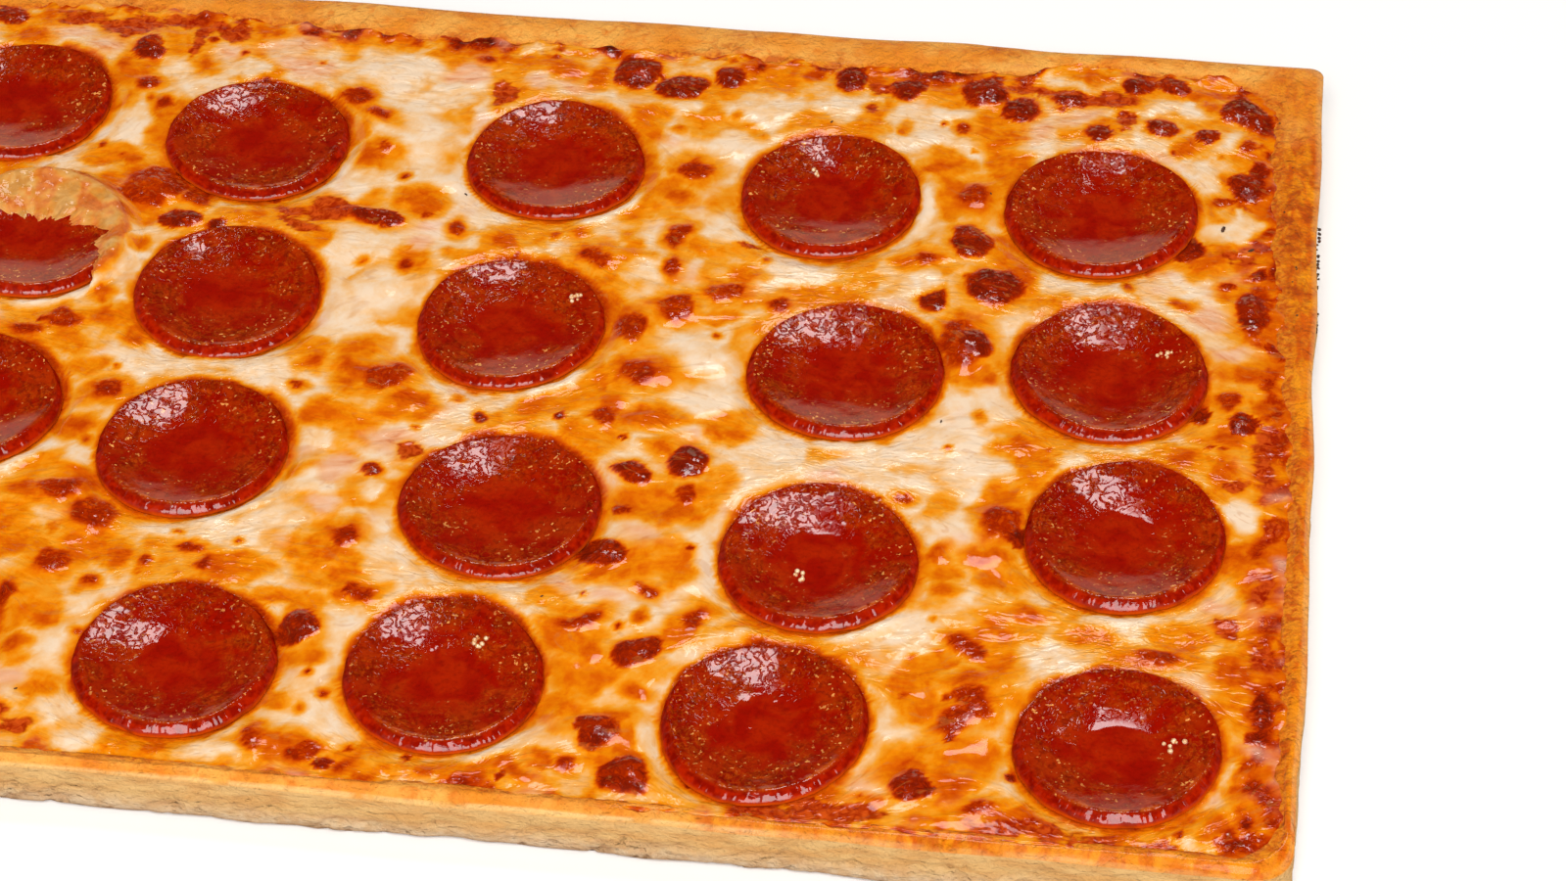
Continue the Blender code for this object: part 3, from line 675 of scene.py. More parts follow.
DARK = (
    (-93, 93, 3.5, 4), (-72, 37, 5, 3, 15), (-31, 42, 6, 3, -10), (15.5, 97, 4.8, 6), (26, 93, 6, 4, 20),
    (36.5, 97, 3.5, 4.5), (62, 99, 4, 4), (75, 98, 4.5, 4), (92, 98, 5.5, 5), (100, 93, 4, 4),
    (111, 98, 3.5, 3), (125, 104, 3.5, 3), (132, 105, 4.5, 3, -20), (148, 97, 5, 6, 30), (152, 94, 2.5, 4),
    (131, 90, 3.5, 3), (141, 88, 2.5, 2.5), (117, 87, 3, 2.5), (93, 48, 4.5, 5), (99.5, 34.5, 6, 6),
    (87.5, 29, 3, 3), (137.5, 50.5, 3.5, 4), (153, 45, 2, 2), (151.5, 33, 4, 6, 10), (150, 72, 4, 5),
    (152, 78, 2, 3), (143, 1, 1.5, 2), (151, 0, 3, 3), (-17, -32, 2.5, 2), (-22, -75, 4, 4.5),
    (-10, -107, 2, 1.5), (44, -23, 4, 4), (34, -27, 4.5, 2.5, -10), (31, -49, 4.5, 3.5),
    (42, -74, 5, 3.5, 40), (37, -94, 4, 4), (44, -104, 4.5, 4), (109, -36, 2.5, 3), (95, -100, 4, 3.5),
    (156, -82, 2.5, 1.5), (157, -75, 2.5, 4), (-64, 36, 2, 2), (-142, -4, 4, 4), (-148, 92, 4, 5),
    (-151, 30, 3, 4), (-150, -70, 3, 5), (-127, 101, 4, 3), (97, 17, 3, 4),
)
SAUCY = (
    (-108, 102, 9, 2.5, -3), (-98, 101, 8, 4), (-88, 103, 6, 2.5), (-83, 97, 1.5, 6), (-77, 101, 5, 4),
    (-50, 43, 6, 3), (-42, 43, 6, 4), (-47, 38, 6, 2, -15), (-12, 86, 3, 4.5), (70, 97, 4, 3),
    (104, 100, 9, 2, -5), (119, 99, 7, 3), (123, 92, 3, 3), (68, 90, 2, 2), (148, 50, 5, 3),
    (-68, -104, 4, 3), (-73, -102, 2, 3), (-10, -26, 3, 2), (83, -108, 10, 3), (70, -109, 6, 2.5),
    (116, -108.5, 12, 3.2), (130, -109.5, 7, 3), (139, -110, 4, 2), (134, -104, 3, 2), (156, -62, 3, 4),
    (150, -56, 3, 3), (155.5, -44, 2, 6), (156, -29, 2.5, 4), (156, -13, 2.5, 6), (150, -18, 3, 2),
    (155, -4, 3, 4), (48, 42, 3, 1), (-150, 103, 6, 2.5), (-153, 55, 2.5, 7), (-153, -38, 2.5, 7),
    (-125, -108, 9, 2), (-154, 0, 2.5, 6),
)
# How far each kind fades out, in its own radii, and what it does to warmth, sauce, pink and height
KINDS = (
    (CREAM, 0.9, 0.04, 0.0, 0.0, 0.07), (PINK, 0.8, 0.16, 0.2, 0.9, -0.02),
    (AMBER, 0.5, 0.4, 0.0, 0.0, -0.03), (ORANGE, 0.8, 0.49, 0.0, 0.0, 0.05),
    (BROWN, 0.9, 0.61, 0.0, 0.0, 0.11), (DARK, 0.9, 0.73, 0.0, 0.0, 0.22),
    (SAUCY, 0.7, 0.48, 1.0, 0.0, -0.03),
)
FRECKLES = 240
# White lips of cheese that lapped against a slice, their whiteness partly a painted highlight: its number
# from 0, first and last angle, strength
LIPS = (
    (2, -80.0, -12.0, 1.0), (3, -35.0, 28.0, 1.0), (6, -105.0, -35.0, 0.7), (7, -85.0, -25.0, 1.0),
    (8, -110.0, -60.0, 0.9), (9, -110.0, -50.0, 0.6), (11, -90.0, -20.0, 1.0), (13, -85.0, -30.0, 1.0),
    (14, -115.0, -60.0, 0.8), (16, -75.0, -30.0, 0.6), (17, -80.0, -25.0, 0.8), (1, -50.0, 10.0, 0.6),
    (10, -80.0, -20.0, 0.8), (5, -100.0, -20.0, 1.0),
)


def spill(place, layer, most=CHEESE_SPILL[1]):
    """How far the cheese ran over one side of the rim, at each place along it."""
    share = smooth(0.5 + 0.9 * grain(place, 0.0, 0.0, 7.0, 2, layer))
    return CHEESE_SPILL[0] + (most - CHEESE_SPILL[0]) * share + 0.5 * grain(place, 0.0, 0.0, 2.4, 2, layer)


def cheese_places(u, v):
    """Spreads a square grid over the hollow, out to its wavy sides and round corners."""
    left, right, front, back = inner_reach(0.0)
    flat_x, flat_y = 0.478 * LENGTH * u, 0.465 * WIDTH * v
    x_low, x_high = left(flat_y) - spill(flat_y, 3.0), right(flat_y) + spill(flat_y, 5.0)
    y_low, y_high = front(flat_x) - 0.6 - spill(flat_x, 7.0, 1.5), back(flat_x) + spill(flat_x, 9.0)
    x = x_low + 0.5 * (u + 1.0) * (x_high - x_low)
    y = y_low + 0.5 * (v + 1.0) * (y_high - y_low)
    radii = np.select(
        [(u > 0) & (v < 0), (u > 0) & (v >= 0), (u <= 0) & (v >= 0)], INNER_CORNERS[:3], INNER_CORNERS[3]
    )
    side_x, side_y = np.sign(u), np.sign(v)
    edge_x = np.where(u > 0, x_high, -x_low)
    edge_y = np.where(v > 0, y_high, -y_low)
    a = np.maximum(0.0, side_x * x - (edge_x - radii)) / radii
    b = np.maximum(0.0, side_y * y - (edge_y - radii)) / radii
    round_a, round_b = a * np.sqrt(1.0 - 0.5 * b * b), b * np.sqrt(1.0 - 0.5 * a * a)
    return x + side_x * radii * (round_a - a), y + side_y * radii * (round_b - b)


def cheese_flow(x, y):
    """Places along and across the way the cheese ran, which parts round the slices."""
    along, across = x.copy(), y.copy()
    for piece in slices:
        dx, dy = x - piece.x, y - piece.y
        pull = piece.radius**2 / np.maximum(dx * dx + dy * dy, piece.radius**2)
        along += dx * pull
        across -= dy * pull
    return along, across


def cheese_patches():
    """Every patch with what it does, and freckles between them, more of them near the rim."""
    chance = np.random.default_rng(7)
    freckles = []
    while len(freckles) < FRECKLES:
        spot_x, spot_y = chance.uniform(-158.0, 158.0), chance.uniform(-108.0, 106.0)
        near_edge = max(abs(spot_x) / 165.0, abs(spot_y) / 114.0) ** 3
        radius, level = chance.uniform(0.6, 1.5), chance.uniform(0.4, 0.72)
        if chance.uniform() < 0.3 + 0.7 * near_edge:
            freckles.append(((spot_x, spot_y, radius, radius), 1.0, level, 0.0, 0.0, 0.05))
    return [(patch, *kind[1:]) for kind in KINDS for patch in kind[0]] + freckles


PATCHES = cheese_patches()


def add_patches(x, y, warp, height, warm, sauce, pink):
    """Works each patch into the cheese, with an outline that wanders."""
    for patch, fade, level, red, rosy, rise in PATCHES:
        centre_x, centre_y, long, short, *turned = patch
        turn = math.radians(turned[0]) if turned else 0.0
        reach = (1.0 + fade) * max(long, short) + 4.0
        near = (np.abs(x - centre_x) < reach) & (np.abs(y - centre_y) < reach)
        give = min(1.0, 0.2 + 0.25 * short) * np.interp(level, (0.5, 0.75), (1.0, 0.6))
        dx = x[near] + give * warp[0][near] - centre_x
        dy = y[near] + give * warp[1][near] - centre_y
        cos, sin = math.cos(turn), math.sin(turn)
        away = np.hypot((dx * cos + dy * sin) / long, (dy * cos - dx * sin) / short)
        core = smooth(1.0 - (away - 0.8) / 0.45) if level > 0.7 else smooth(1.0 - (away - 0.5) / 0.75)
        glow = smooth(1.0 - (away - 0.7) / (0.5 + fade))
        if level < 0.3:
            warm[near] += (level - warm[near]) * core
        else:
            warm[near] = np.maximum(warm[near], np.maximum(0.41 * glow, level * core))
        pink[near] = pink[near] * (1.0 - glow) + rosy * core
        sauce[near] = np.maximum(sauce[near] * (1.0 - 0.7 * core), red * core)
        size = math.sqrt(long * short)
        height[near] += rise * size * np.clip(1.0 - 0.8 * away * away, 0.0, 1.0) ** 1.5


def add_slices(x, y, height, warm, sauce, pink):
    """Sags the cheese under each slice, soaks it in fat round the slice, darkens a ring hugging it with fat
    and painted contact shadow, and adds the lips, whose whiteness is partly a painted highlight.
    """
    for piece in slices:
        beyond = piece.beyond(x, y)
        near = beyond < 9.0
        gap = beyond[near]
        dx, dy = x[near] - piece.x, y[near] - piece.y
        sag = piece.surface(dx, dy, 0.0) - 0.3
        settle = smooth(gap / 4.5)
        height[near] = sag * (1.0 - settle) + np.maximum(sag, height[near]) * settle
        soaked = smooth(0.55 + 1.6 * grain(x[near], y[near], 0.0, 11.0, 2, 81.0))
        pool = soaked * smooth(1.0 - (np.maximum(gap, 0.0) - 0.3) / (0.8 + 3.0 * soaked))
        warm[near] = np.maximum(warm[near], (0.42 + 0.1 * warm[near]) * pool)
        # The ring hugging each slice is partly a halo of fat and partly painted contact shadow, wider and
        # darker behind it.
        uneven = smooth(0.5 + 1.6 * grain(x[near], y[near], 0.0, 10.0, 2, 87.0))
        behind = np.clip(dy / np.maximum(np.hypot(dx, dy), 1.0), 0.0, 1.0)
        width = 0.9 + 0.4 * uneven + (1.6 + 1.6 * uneven) * behind
        ring = smooth(1.3 - np.maximum(gap, 0.0) / width)
        warm[near] = np.maximum(warm[near], (0.48 + 0.13 * behind) * ring)
        pink[near] *= 1.0 - np.maximum(pool, ring)
        angle = np.degrees(np.arctan2(dy, dx))
        # Lips: raised cheese on the slices' front sides, whitened partly as a painted highlight.
        wander = 1.7 + 0.9 * grain(x[near], y[near], 0.0, 5.0, 2, 91.0)
        for number, first, last, strength in LIPS:
            if number == piece.number:
                middle, spread = 0.5 * (first + last), 0.5 * (last - first)
                sector = smooth(1.6 * (1.0 - np.abs(angle - middle) / spread))
                ridge = strength * sector * smooth(1.4 - np.abs(gap - wander) / 1.3)
                height[near] += 0.8 * ridge
                warm[near] *= 1.0 - ridge
                sauce[near] *= 1.0 - ridge


def meet_rim(x, y, inside, height):
    """The height of the cheese once it climbs out of the hollow and thins over the rim."""
    left, right, front, back = inner_reach(0.0)
    over = np.max([left(y) - x, x - right(y), front(x) - y, y - back(x)], axis=0)
    climb = 0.6 * np.clip(1.0 - over / RIM_SHOULDER, 0.0, 1.0) ** 1.5
    crown = 0.45 * (1.0 - np.clip(1.0 - (over - RIM_SHOULDER) / 3.0, 0.0, 1.0) ** 2)
    rim = SHOULDER - climb + crown + 0.22 * ripple(x, y, 19.0, 5.0)
    ahead = smooth((-y - 103.0) / 5.0)
    swell = 0.7 - 0.25 * ahead + 0.25 * grain(x, y, 0.0, 3.0, 2, 27.0)
    rim += -0.35 + 0.13 * ahead + swell * smooth(inside / (1.6 + 1.2 * ahead))
    return height + (rim - height) * smooth((over + 2.4) / 2.4)


def cheese_fields(x, y, inside, along, across):
    """Height, warmth, sauce and pinkness of the cheese at each place."""
    height = CHEESE_LEVEL + 0.35 * ripple(x, y, 26.0, 1.0) + 0.2 * ripple(x, y, 10.0, 2.0)
    height += 0.26 * grain(0.5 * along, across, 0.0, 5.0, 3, 11.0)
    height += 0.34 * (0.4 - np.abs(grain(0.4 * along, across, 0.0, 3.4, 2, 17.0)))
    warp = [3.0 * grain(x, y, 0.0, 8.0, 4, layer) for layer in (21.0, 31.0)]
    right = smooth((x - 125.0) / 25.0)
    edge = 1.0 - smooth(inside / 8.0)
    edge += (1.0 - smooth(inside / 16.0) - edge) * right
    baked = edge * (0.5 + 0.7 * smooth((y - 80.0) / 25.0))
    oily = smooth(2.2 * grain(x + warp[0], y + warp[1], 0.0, 15.0, 3, 41.0) + 0.25)
    scorched = smooth(0.4 + 1.6 * grain(x, y, 0.0, 5.0, 3, 51.0))
    warm = 0.06 + 0.3 * oily + (0.16 + 0.32 * scorched) * baked + 0.11 * smooth((-y - 80.0) / 20.0)
    ruddy = 0.9 * right * (1.0 - smooth((inside - 2.0) / 15.0))
    warm += (np.maximum(warm, 0.47 + 0.2 * scorched) - warm) * ruddy
    pink = smooth(2.0 * grain(x, y, 0.0, 11.0, 3, 61.0) - 0.2) * (1.0 - oily)
    sauce = 0.55 * baked * smooth(grain(x, y, 0.0, 8.0, 3, 71.0) * 2.2)
    add_patches(x, y, warp, height, warm, sauce, pink)
    add_slices(x, y, height, warm, sauce, pink)
    height = meet_rim(x, y, inside, height)
    thin = smooth(1.0 - inside / 2.2)
    warm += (np.maximum(warm, 0.33 + 0.22 * scorched) - warm) * thin
    return height, warm, np.clip(sauce, 0.0, 1.0), np.clip(pink, 0.0, 1.0)


def open_cheese(x, y):
    """The same at places well inside the edge."""
    return cheese_fields(x, y, np.full(x.shape, WELL_INSIDE), *cheese_flow(x, y))


def cheese_finish():
    """Cream, through orange fat and toasted brown, to dark wet blisters, by the cheese's warmth."""
    paint = Finish("melted_cheese")
    warm, sauce, pink = (paint.attribute(name) for name in ("warm", "sauce", "pink"))
    flow = paint.attribute("flow", "Vector")
    streaks = paint.mottle(2.4, 0.2, 0.8, 4.0, 1.2, (0.35, 1.0, 1.0), flow)
    grainy = paint.mottle(0.9, 0.25, 0.75, 6.0, 0.5)
    broad = paint.mottle(7.0, 0.2, 0.8, 4.0, 0.8)
    toasted = paint.level(warm, 0.44, 0.62)
    wrinkles = paint.math("MAXIMUM", paint.furrows(2.2, 0.22, 1.2), paint.furrows(4.0, 0.12, 1.6))
    wrinkles = paint.times(wrinkles, toasted)
    domes = paint.times(paint.cells(2.3, 0.5, 0.0), toasted)
    glaze = paint.mottle(4.0, 0.25, 0.75, 2.0, 0.8)
    heat = paint.sway(warm, streaks, 0.08)
    heat = paint.sway(heat, grainy, paint.level(warm, 0.4, 0.75, 0.03, 0.08))
    heat = paint.sway(heat, broad, 0.14)
    heat = paint.sway(heat, glaze, 0.08)
    heat = paint.add(heat, paint.times(wrinkles, 0.11))
    colour = paint.ramp(
        heat,
        (0.0, 253, 226, 196), (0.09, 251, 208, 158), (0.18, 249, 187, 112), (0.28, 249, 164, 42),
        (0.37, 245, 140, 6), (0.46, 228, 104, 3), (0.57, 204, 70, 1), (0.69, 174, 42, 0),
        (0.83, 134, 28, 5), (1.0, 86, 18, 6),
    )
    fleck = paint.mottle(1.1, 0.6, 0.7, 2.0, 0.8, (0.4, 1.0, 1.0), flow)
    colour = paint.tint(colour, fleck, 0.28, 206, 130, 60)
    murky = paint.mix(paint.mottle(3.0, 0.35, 0.65, 4.0, 0.6), hue(226, 176, 108), hue(196, 136, 70))
    colour = paint.mix(paint.times(paint.attribute("film"), 0.85), colour, murky)
    rosy = paint.mix(streaks, hue(251, 208, 180), hue(230, 138, 98))
    colour = paint.mix(paint.times(pink, 0.75), colour, rosy)
    wet = paint.mix(paint.mottle(1.6, 0.35, 0.65, 5.0, 1.0), hue(214, 80, 22), hue(160, 26, 2))
    seen = paint.level(paint.sway(sauce, streaks, 0.7), 0.3, 0.8)
    colour = paint.mix(paint.times(seen, 0.9), colour, wet)
    folds = paint.mottle(2.6, 0.2, 0.8, 2.0, 1.0, (0.45, 1.0, 1.0), flow)
    grooves = paint.math("SUBTRACT", 1.0, wrinkles)
    normal = paint.bump(grooves, 0.1, paint.bump(folds, 0.2, paint.bump(domes, 0.2)))
    film = paint.bump(grooves, 0.015, paint.bump(folds, 0.1, paint.bump(domes, 0.12)))
    glints = paint.level(paint.mottle(1.2, 0.0, 1.0, 2.0, 0.6), 0.54, 0.6, -0.4, 0.5)
    gloss = paint.add(paint.times(toasted, glints), 0.5)
    return paint.set(
        base_color=colour, roughness=0.6, normal=normal, coat_normal=film, coat_roughness=0.06,
        coat_weight=gloss, specular_ior_level=0.0,
    )


def make_cheese():
    across, deep = round(CHEESE_LENGTH / CHEESE_SPACING), round(CHEESE_WIDTH / CHEESE_SPACING)
    mesh, u, v = grid(across, deep)
    x, y = cheese_places(u, v)
    inside = np.minimum((1.0 - np.abs(u)) * 0.5 * CHEESE_LENGTH, (1.0 - np.abs(v)) * 0.5 * CHEESE_WIDTH)
    along, across_run = cheese_flow(x, y)
    height, warm, sauce, pink = cheese_fields(x, y, inside, along, across_run)
    move(mesh, x, y, height)
    edge = [e for e in mesh.edges if e.is_boundary]
    wall = bmesh.ops.extrude_edge_only(mesh, edges=edge)["geom"]
    lower = [g for g in wall if isinstance(g, bmesh.types.BMVert)]
    for vert in lower:
        vert.co.z = CHEESE_FOOT
    bmesh.ops.contextual_create(mesh, geom=[e for e in mesh.edges if e.is_boundary])
    bmesh.ops.recalc_face_normals(mesh, faces=mesh.faces)
    piece = make_piece("cheese_melted", mesh, cheese_finish(), "cheese", "cheese")
    below = np.zeros(len(lower))
    run = np.stack([np.append(part, below) for part in (along, across_run, 0.0 * along)], -1)
    attach(
        piece, warm=np.append(warm, below + 0.45), sauce=np.append(sauce, below),
        pink=np.append(pink, below), flow=run * MM,
    )


make_cheese()


# Pepperoni
# The slices dished as they baked: fat pooled in the middle, the skin wrinkled, and the rim browned. They
# stuck to the cheese as it set.

SLICE_STEPS, CREST_SHARE = 216, 0.86
UNDERSIDE = (0.0, 0.3, 0.6, 0.8, 0.9, 0.96)  # shares of the radius
WALL = (  # share of the radius, and height between underside and upper side
    (0.985, 0.02), (1.0, 0.08), (0.999, 0.16), (0.993, 0.26), (0.984, 0.36), (0.971, 0.46), (0.957, 0.55),
    (0.942, 0.64), (0.927, 0.73), (0.912, 0.82), (0.899, 0.89), (0.887, 0.95), (0.875, 0.985),
)


def sausage_finish():
    """Red and moist in the middle, browner and flecked towards the rim, under a film of clear fat. It
    carries painted glints among its fat flecks, a painted highlight on the front crest, and painted shade in
    its wrinkle grooves.
    """
    paint = Finish("cured_sausage")
    share, wall = paint.attribute("share"), paint.attribute("wall")
    around = paint.attribute("around", "Vector")
    broad = paint.mottle(6.0, 0.35, 0.65, 4.0, 0.6)
    middle = paint.mix(broad, hue(160, 14, 0), hue(178, 34, 1))
    outer = paint.mix(broad, hue(156, 20, 1), hue(176, 48, 4))
    inner = paint.level(paint.sway(share, broad, 0.3), 0.3, 0.8)
    colour = paint.mix(inner, middle, outer)
    colour = paint.tint(colour, paint.mottle(0.8, 0.45, 0.75, 4.0), 0.35, 124, 8, 0)
    patchy = paint.mottle(7.0, 0.4, 0.58, 3.0)
    web = paint.times(paint.furrows(1.7, 0.09, 1.2), paint.times(patchy, inner))
    colour = paint.tint(colour, web, 0.65, 198, 84, 10)
    dark = paint.times(paint.mottle(1.3, 0.52, 0.66, 4.0, 0.6), paint.level(inner, 0.0, 1.0, 0.2, 0.45))
    colour = paint.mix(dark, colour, hue(98, 5, 0))
    # small bright dashes: fat specks, and painted glints standing in for tiny highlights
    fat_specks_and_glints = paint.times(paint.mottle(0.9, 0.64, 0.67, 2.0, 0.3), paint.mottle(5.0, 0.42, 0.58, 3.0))
    colour = paint.mix(paint.times(fat_specks_and_glints, inner), colour, hue(252, 172, 92))
    front = paint.attribute("front")
    # painted highlight: a light line along the crest, on the side that faces the front
    crest_highlight = paint.times(paint.level(share, 0.835, 0.855), paint.level(share, 0.88, 0.9, 1.0, 0.0))
    crest_highlight = paint.times(paint.times(crest_highlight, paint.mottle(2.5, 0.4, 0.6, 3.0)), front)
    colour = paint.tint(colour, crest_highlight, 0.55, 232, 120, 44)
    side = paint.mix(paint.mottle(1.4, 0.35, 0.65, 4.0), hue(180, 32, 1), hue(144, 14, 0))
    side = paint.mix(paint.level(wall, 0.72, 1.05), side, hue(212, 80, 5))
    colour = paint.mix(paint.level(wall, 0.15, 0.4), colour, side)
    skin = paint.attribute("skin")
    worms = paint.times(paint.furrows(2.4, 0.09, 0.9), skin)
    # painted shade: the wrinkle grooves where the fat film shines are darkened in colour as well as cut into
    # the film
    colour = paint.tint(colour, worms, 0.5, 122, 5, 0)
    swells = paint.mottle(5.0, 0.2, 0.8, 1.0, 0.3)
    rings = paint.times(paint.furrows(1.8, 0.17, 0.3, around), paint.times(patchy, inner))
    colour = paint.tint(colour, rings, 0.45, 96, 6, 1)
    crimp = paint.mottle(1.3, 0.3, 0.7, 1.0, 0.0, (1.0, 1.0, 1.0), paint.attribute("crimp", "Vector"))
    crimp = paint.times(crimp, paint.level(share, 0.82, 0.9))
    craters = paint.times(paint.math("SUBTRACT", 1.0, paint.cells(6.0, 0.1, 0.15)), patchy)
    dents = paint.math("SUBTRACT", 1.0, paint.math("MAXIMUM", craters, paint.times(rings, 0.2)))
    normal = paint.bump(dents, 0.08, paint.bump(paint.mottle(1.6, 0.25, 0.75, 1.0, 0.5), 0.08))
    smoothed = paint.math("SUBTRACT", 1.0, worms)
    film = paint.bump(smoothed, 0.025, paint.bump(swells, 0.045))
    film = paint.bump(crimp, 0.14, paint.bump(dents, 0.02, film))
    gloss = paint.times(paint.level(wall, 0.7, 0.9, 1.0, 0.12), paint.level(worms, 0.2, 0.8, 1.0, 0.12))
    rim = paint.math("MAXIMUM", paint.level(share, 0.81, 0.87, 1.0, 0.14), front)
    glints = paint.mottle(1.3, 0.54, 0.6, 2.0, 0.6)
    dry = paint.math("MAXIMUM", paint.level(paint.attribute("dry"), 0.0, 1.0, 1.0, 0.15), glints)
    plain = paint.level(skin, 0.2, 0.9, 1.0, 0.15)
    islands = paint.math("MAXIMUM", paint.mottle(1.9, 0.4, 0.45, 2.0, 0.8), plain)
    gloss = paint.times(paint.times(gloss, rim), paint.times(dry, islands))
    return paint.set(
        base_color=colour, roughness=0.6, normal=normal, coat_normal=film, coat_roughness=0.04,
        coat_weight=gloss, specular_ior_level=0.0,
    )


def make_slice(piece, finish):
    mesh = bmesh.new()
    profile = [*((share, 0.0) for share in UNDERSIDE), *WALL]
    profile += [(share, 1.0) for share in np.linspace(CREST_SHARE, 0.0, 40)]
    verts = [mesh.verts.new((share * piece.radius, 0.0, side)) for share, side in profile]
    edges = [mesh.edges.new(pair) for pair in zip(verts, verts[1:])]
    bmesh.ops.spin(
        mesh, geom=verts + edges, axis=(0, 0, 1), cent=(0, 0, 0), angle=2 * math.pi,
        steps=SLICE_STEPS, use_merge=True,
    )
    bmesh.ops.remove_doubles(mesh, verts=mesh.verts, dist=0.001)
    bmesh.ops.recalc_face_normals(mesh, faces=mesh.faces)
    x, y, side = points(mesh)
    radius = np.hypot(x, y)
    share, angle = radius / piece.radius, np.arctan2(y, x)
    layer = 3.0 * piece.number
    around = np.stack([4.0 * np.cos(angle), 4.0 * np.sin(angle), radius], -1)
    ragged = 0.013 * grain(4.0 * x / 19.0, 4.0 * y / 19.0, 0.0, 1.0, 3, layer) * smooth((share - 0.8) / 0.2)
    back = smooth(0.5 + 0.9 * np.sin(angle))
    wider = 0.085 * back * np.interp(share, (0.4, CREST_SHARE, 1.0), (0.0, 1.0, 0.0))
    stretch = piece.out_of_round(angle) + ragged + wider / np.maximum(share, 0.1)
    dx, dy = x * stretch, y * stretch
    rise = piece.top(dx, dy, side)
    outer = smooth((share - 0.3) / 0.3)
    crimp = np.stack([piece.radius * np.cos(angle), piece.radius * np.sin(angle), 0.4 * radius], -1)
    relief = 0.07 * grain(dx, dy, layer, 7.0, 2) * outer
    relief += 0.02 * grain(*around.T, 2.6, 1, layer) * outer
    relief += 0.1 * grain(*crimp.T, 2.6, 2, layer) * smooth((share - 0.8) / 0.1)
    rise += side * relief
    move(mesh, piece.x + dx, piece.y + dy, rise)
    node = f"pepperoni_{piece.number + 1:02d}"
    made = make_piece(f"{node}_slice", mesh, finish, "pepperoni", node)
    wrinkled = 0.15 + 0.85 * smooth((np.cos(angle - 2.05) - 0.1) / 0.5)
    drier = smooth((np.cos(angle - 0.85 - 0.2 * np.sin(piece.phase)) - 0.55) / 0.25)
    # front marks the side of the rim that faces the front, which carries the painted crest highlight and
    # keeps its gloss
    attach(
        made, skin=wrinkled * smooth((share - 0.34) / 0.1),
        front=smooth(0.5 + 1.6 * (np.cos(angle + 1.3) - 0.75)), dry=drier * smooth((share - 0.3) / 0.15),
        share=share, wall=np.where(share > CREST_SHARE + 0.005, 1.15 - side, 0.0),
        around=around * MM, crimp=crimp * MM,
    )


sausage = sausage_finish()
for piece in slices:
    make_slice(piece, sausage)


# Pepperoni, its beads of fat
# White fat that bubbled out of some slices and set there, in small clusters of beads on the upper side
# of the slice.

# Slice number, counted from 0, and where the cluster lies on it
BEADS = ((3, -4.0, 7.7), (7, 12.0, 9.2), (9, 11.0, 5.5), (13, -3.1, -5.5), (19, 9.8, 1.8), (17, 5.0, 9.0))


def fat_finish():
    paint = Finish("white_fat")
    colour = paint.mix(paint.mottle(0.6), hue(252, 224, 184), hue(226, 160, 96))
    return paint.set(base_color=colour, roughness=0.35, coat_weight=0.8, coat_roughness=0.08)


def make_beads():
    mesh = bmesh.new()
    chance = np.random.default_rng(19)
    for number, middle_x, middle_y in BEADS:
        piece = slices[number]
        for _ in range(7):
            dx, dy = middle_x + chance.normal(0.0, 0.75), middle_y + chance.normal(0.0, 0.85)
            place = (piece.x + dx, piece.y + dy, float(piece.top(dx, dy)) + 0.12)
            size = chance.uniform(0.26, 0.54)
            bmesh.ops.create_icosphere(mesh, subdivisions=2, radius=size, matrix=Matrix.Translation(place))
    make_piece("pepperoni_fat_beads", mesh, fat_finish(), "pepperoni")


make_beads()


# Specks
# Flakes of dried herb that lie on the cheese, and crumbs of char where the dough caught at its right side
# and in the crease of its front.

HERBS = (  # x, y and half length
    (144.9, 58.0, 1.1), (151.0, 52.4, 0.8), (-14.0, 52.0, 0.5), (60.0, 84.0, 0.5), (92.0, -6.0, 0.5),
    (-44.0, 24.0, 0.5), (22.0, -62.0, 0.4), (118.0, 32.0, 0.5), (-70.0, -96.0, 0.4), (96.0, 64.0, 0.4),
)
CHAR_IN_CREASE = ((14.2, -112.6, 8.0), (14.6, -112.4, 7.4), (13.9, -112.5, 6.8))


def speck_finish():
    paint = Finish("herb_and_char")
    return paint.set(base_color=paint.mix(paint.mottle(0.5), hue(44, 22, 8), hue(84, 42, 14)), roughness=0.7)


def make_specks():
    mesh = bmesh.new()
    chance = np.random.default_rng(23)
    places = []  # x, y, z, half length, and the breadth and height as shares of it
    for x, y, size in HERBS:
        height = open_cheese(np.array([x]), np.array([y]))[0][0]
        places.append((x, y, height + 0.1, size, 0.4, 0.35))
    right = inner_reach(0.0)[1]
    for _ in range(46):
        y = chance.uniform(30.0, 62.0)
        x, z = 164.7 + chance.normal(0.0, 0.25), chance.uniform(7.5, 11.4)
        places.append((min(x, 165.0), y, z, chance.uniform(0.2, 0.5), 0.8, 0.8))
    for _ in range(8):
        y = chance.uniform(20.0, 100.0)
        x = right(y) + chance.uniform(1.5, 5.0)
        places.append((x, y, 12.2, chance.uniform(0.15, 0.3), 0.8, 0.5))
    places += [(x, y, z, 0.45, 0.8, 0.8) for x, y, z in CHAR_IN_CREASE]
    for x, y, z, size, broad, high in places:
        turn = Matrix.Rotation(chance.uniform(0.0, 6.3), 4, "Z")
        shape = Matrix.Diagonal((1.0, broad, high, 1.0))
        made = bmesh.ops.create_icosphere(
            mesh, subdivisions=2, radius=size, matrix=Matrix.Translation((x, y, z)) @ turn @ shape
        )
        for vert in made["verts"]:
            vert.co += (vert.co - Vector((x, y, z))) * chance.uniform(-0.3, 0.1)
    make_piece("herb_and_char_specks", mesh, speck_finish(), "crust")


make_specks()


# Cheese tongue
# A thin film of cheese that ran over the back and right of one slice, browned at the edge and let the
# sausage show through its holes.

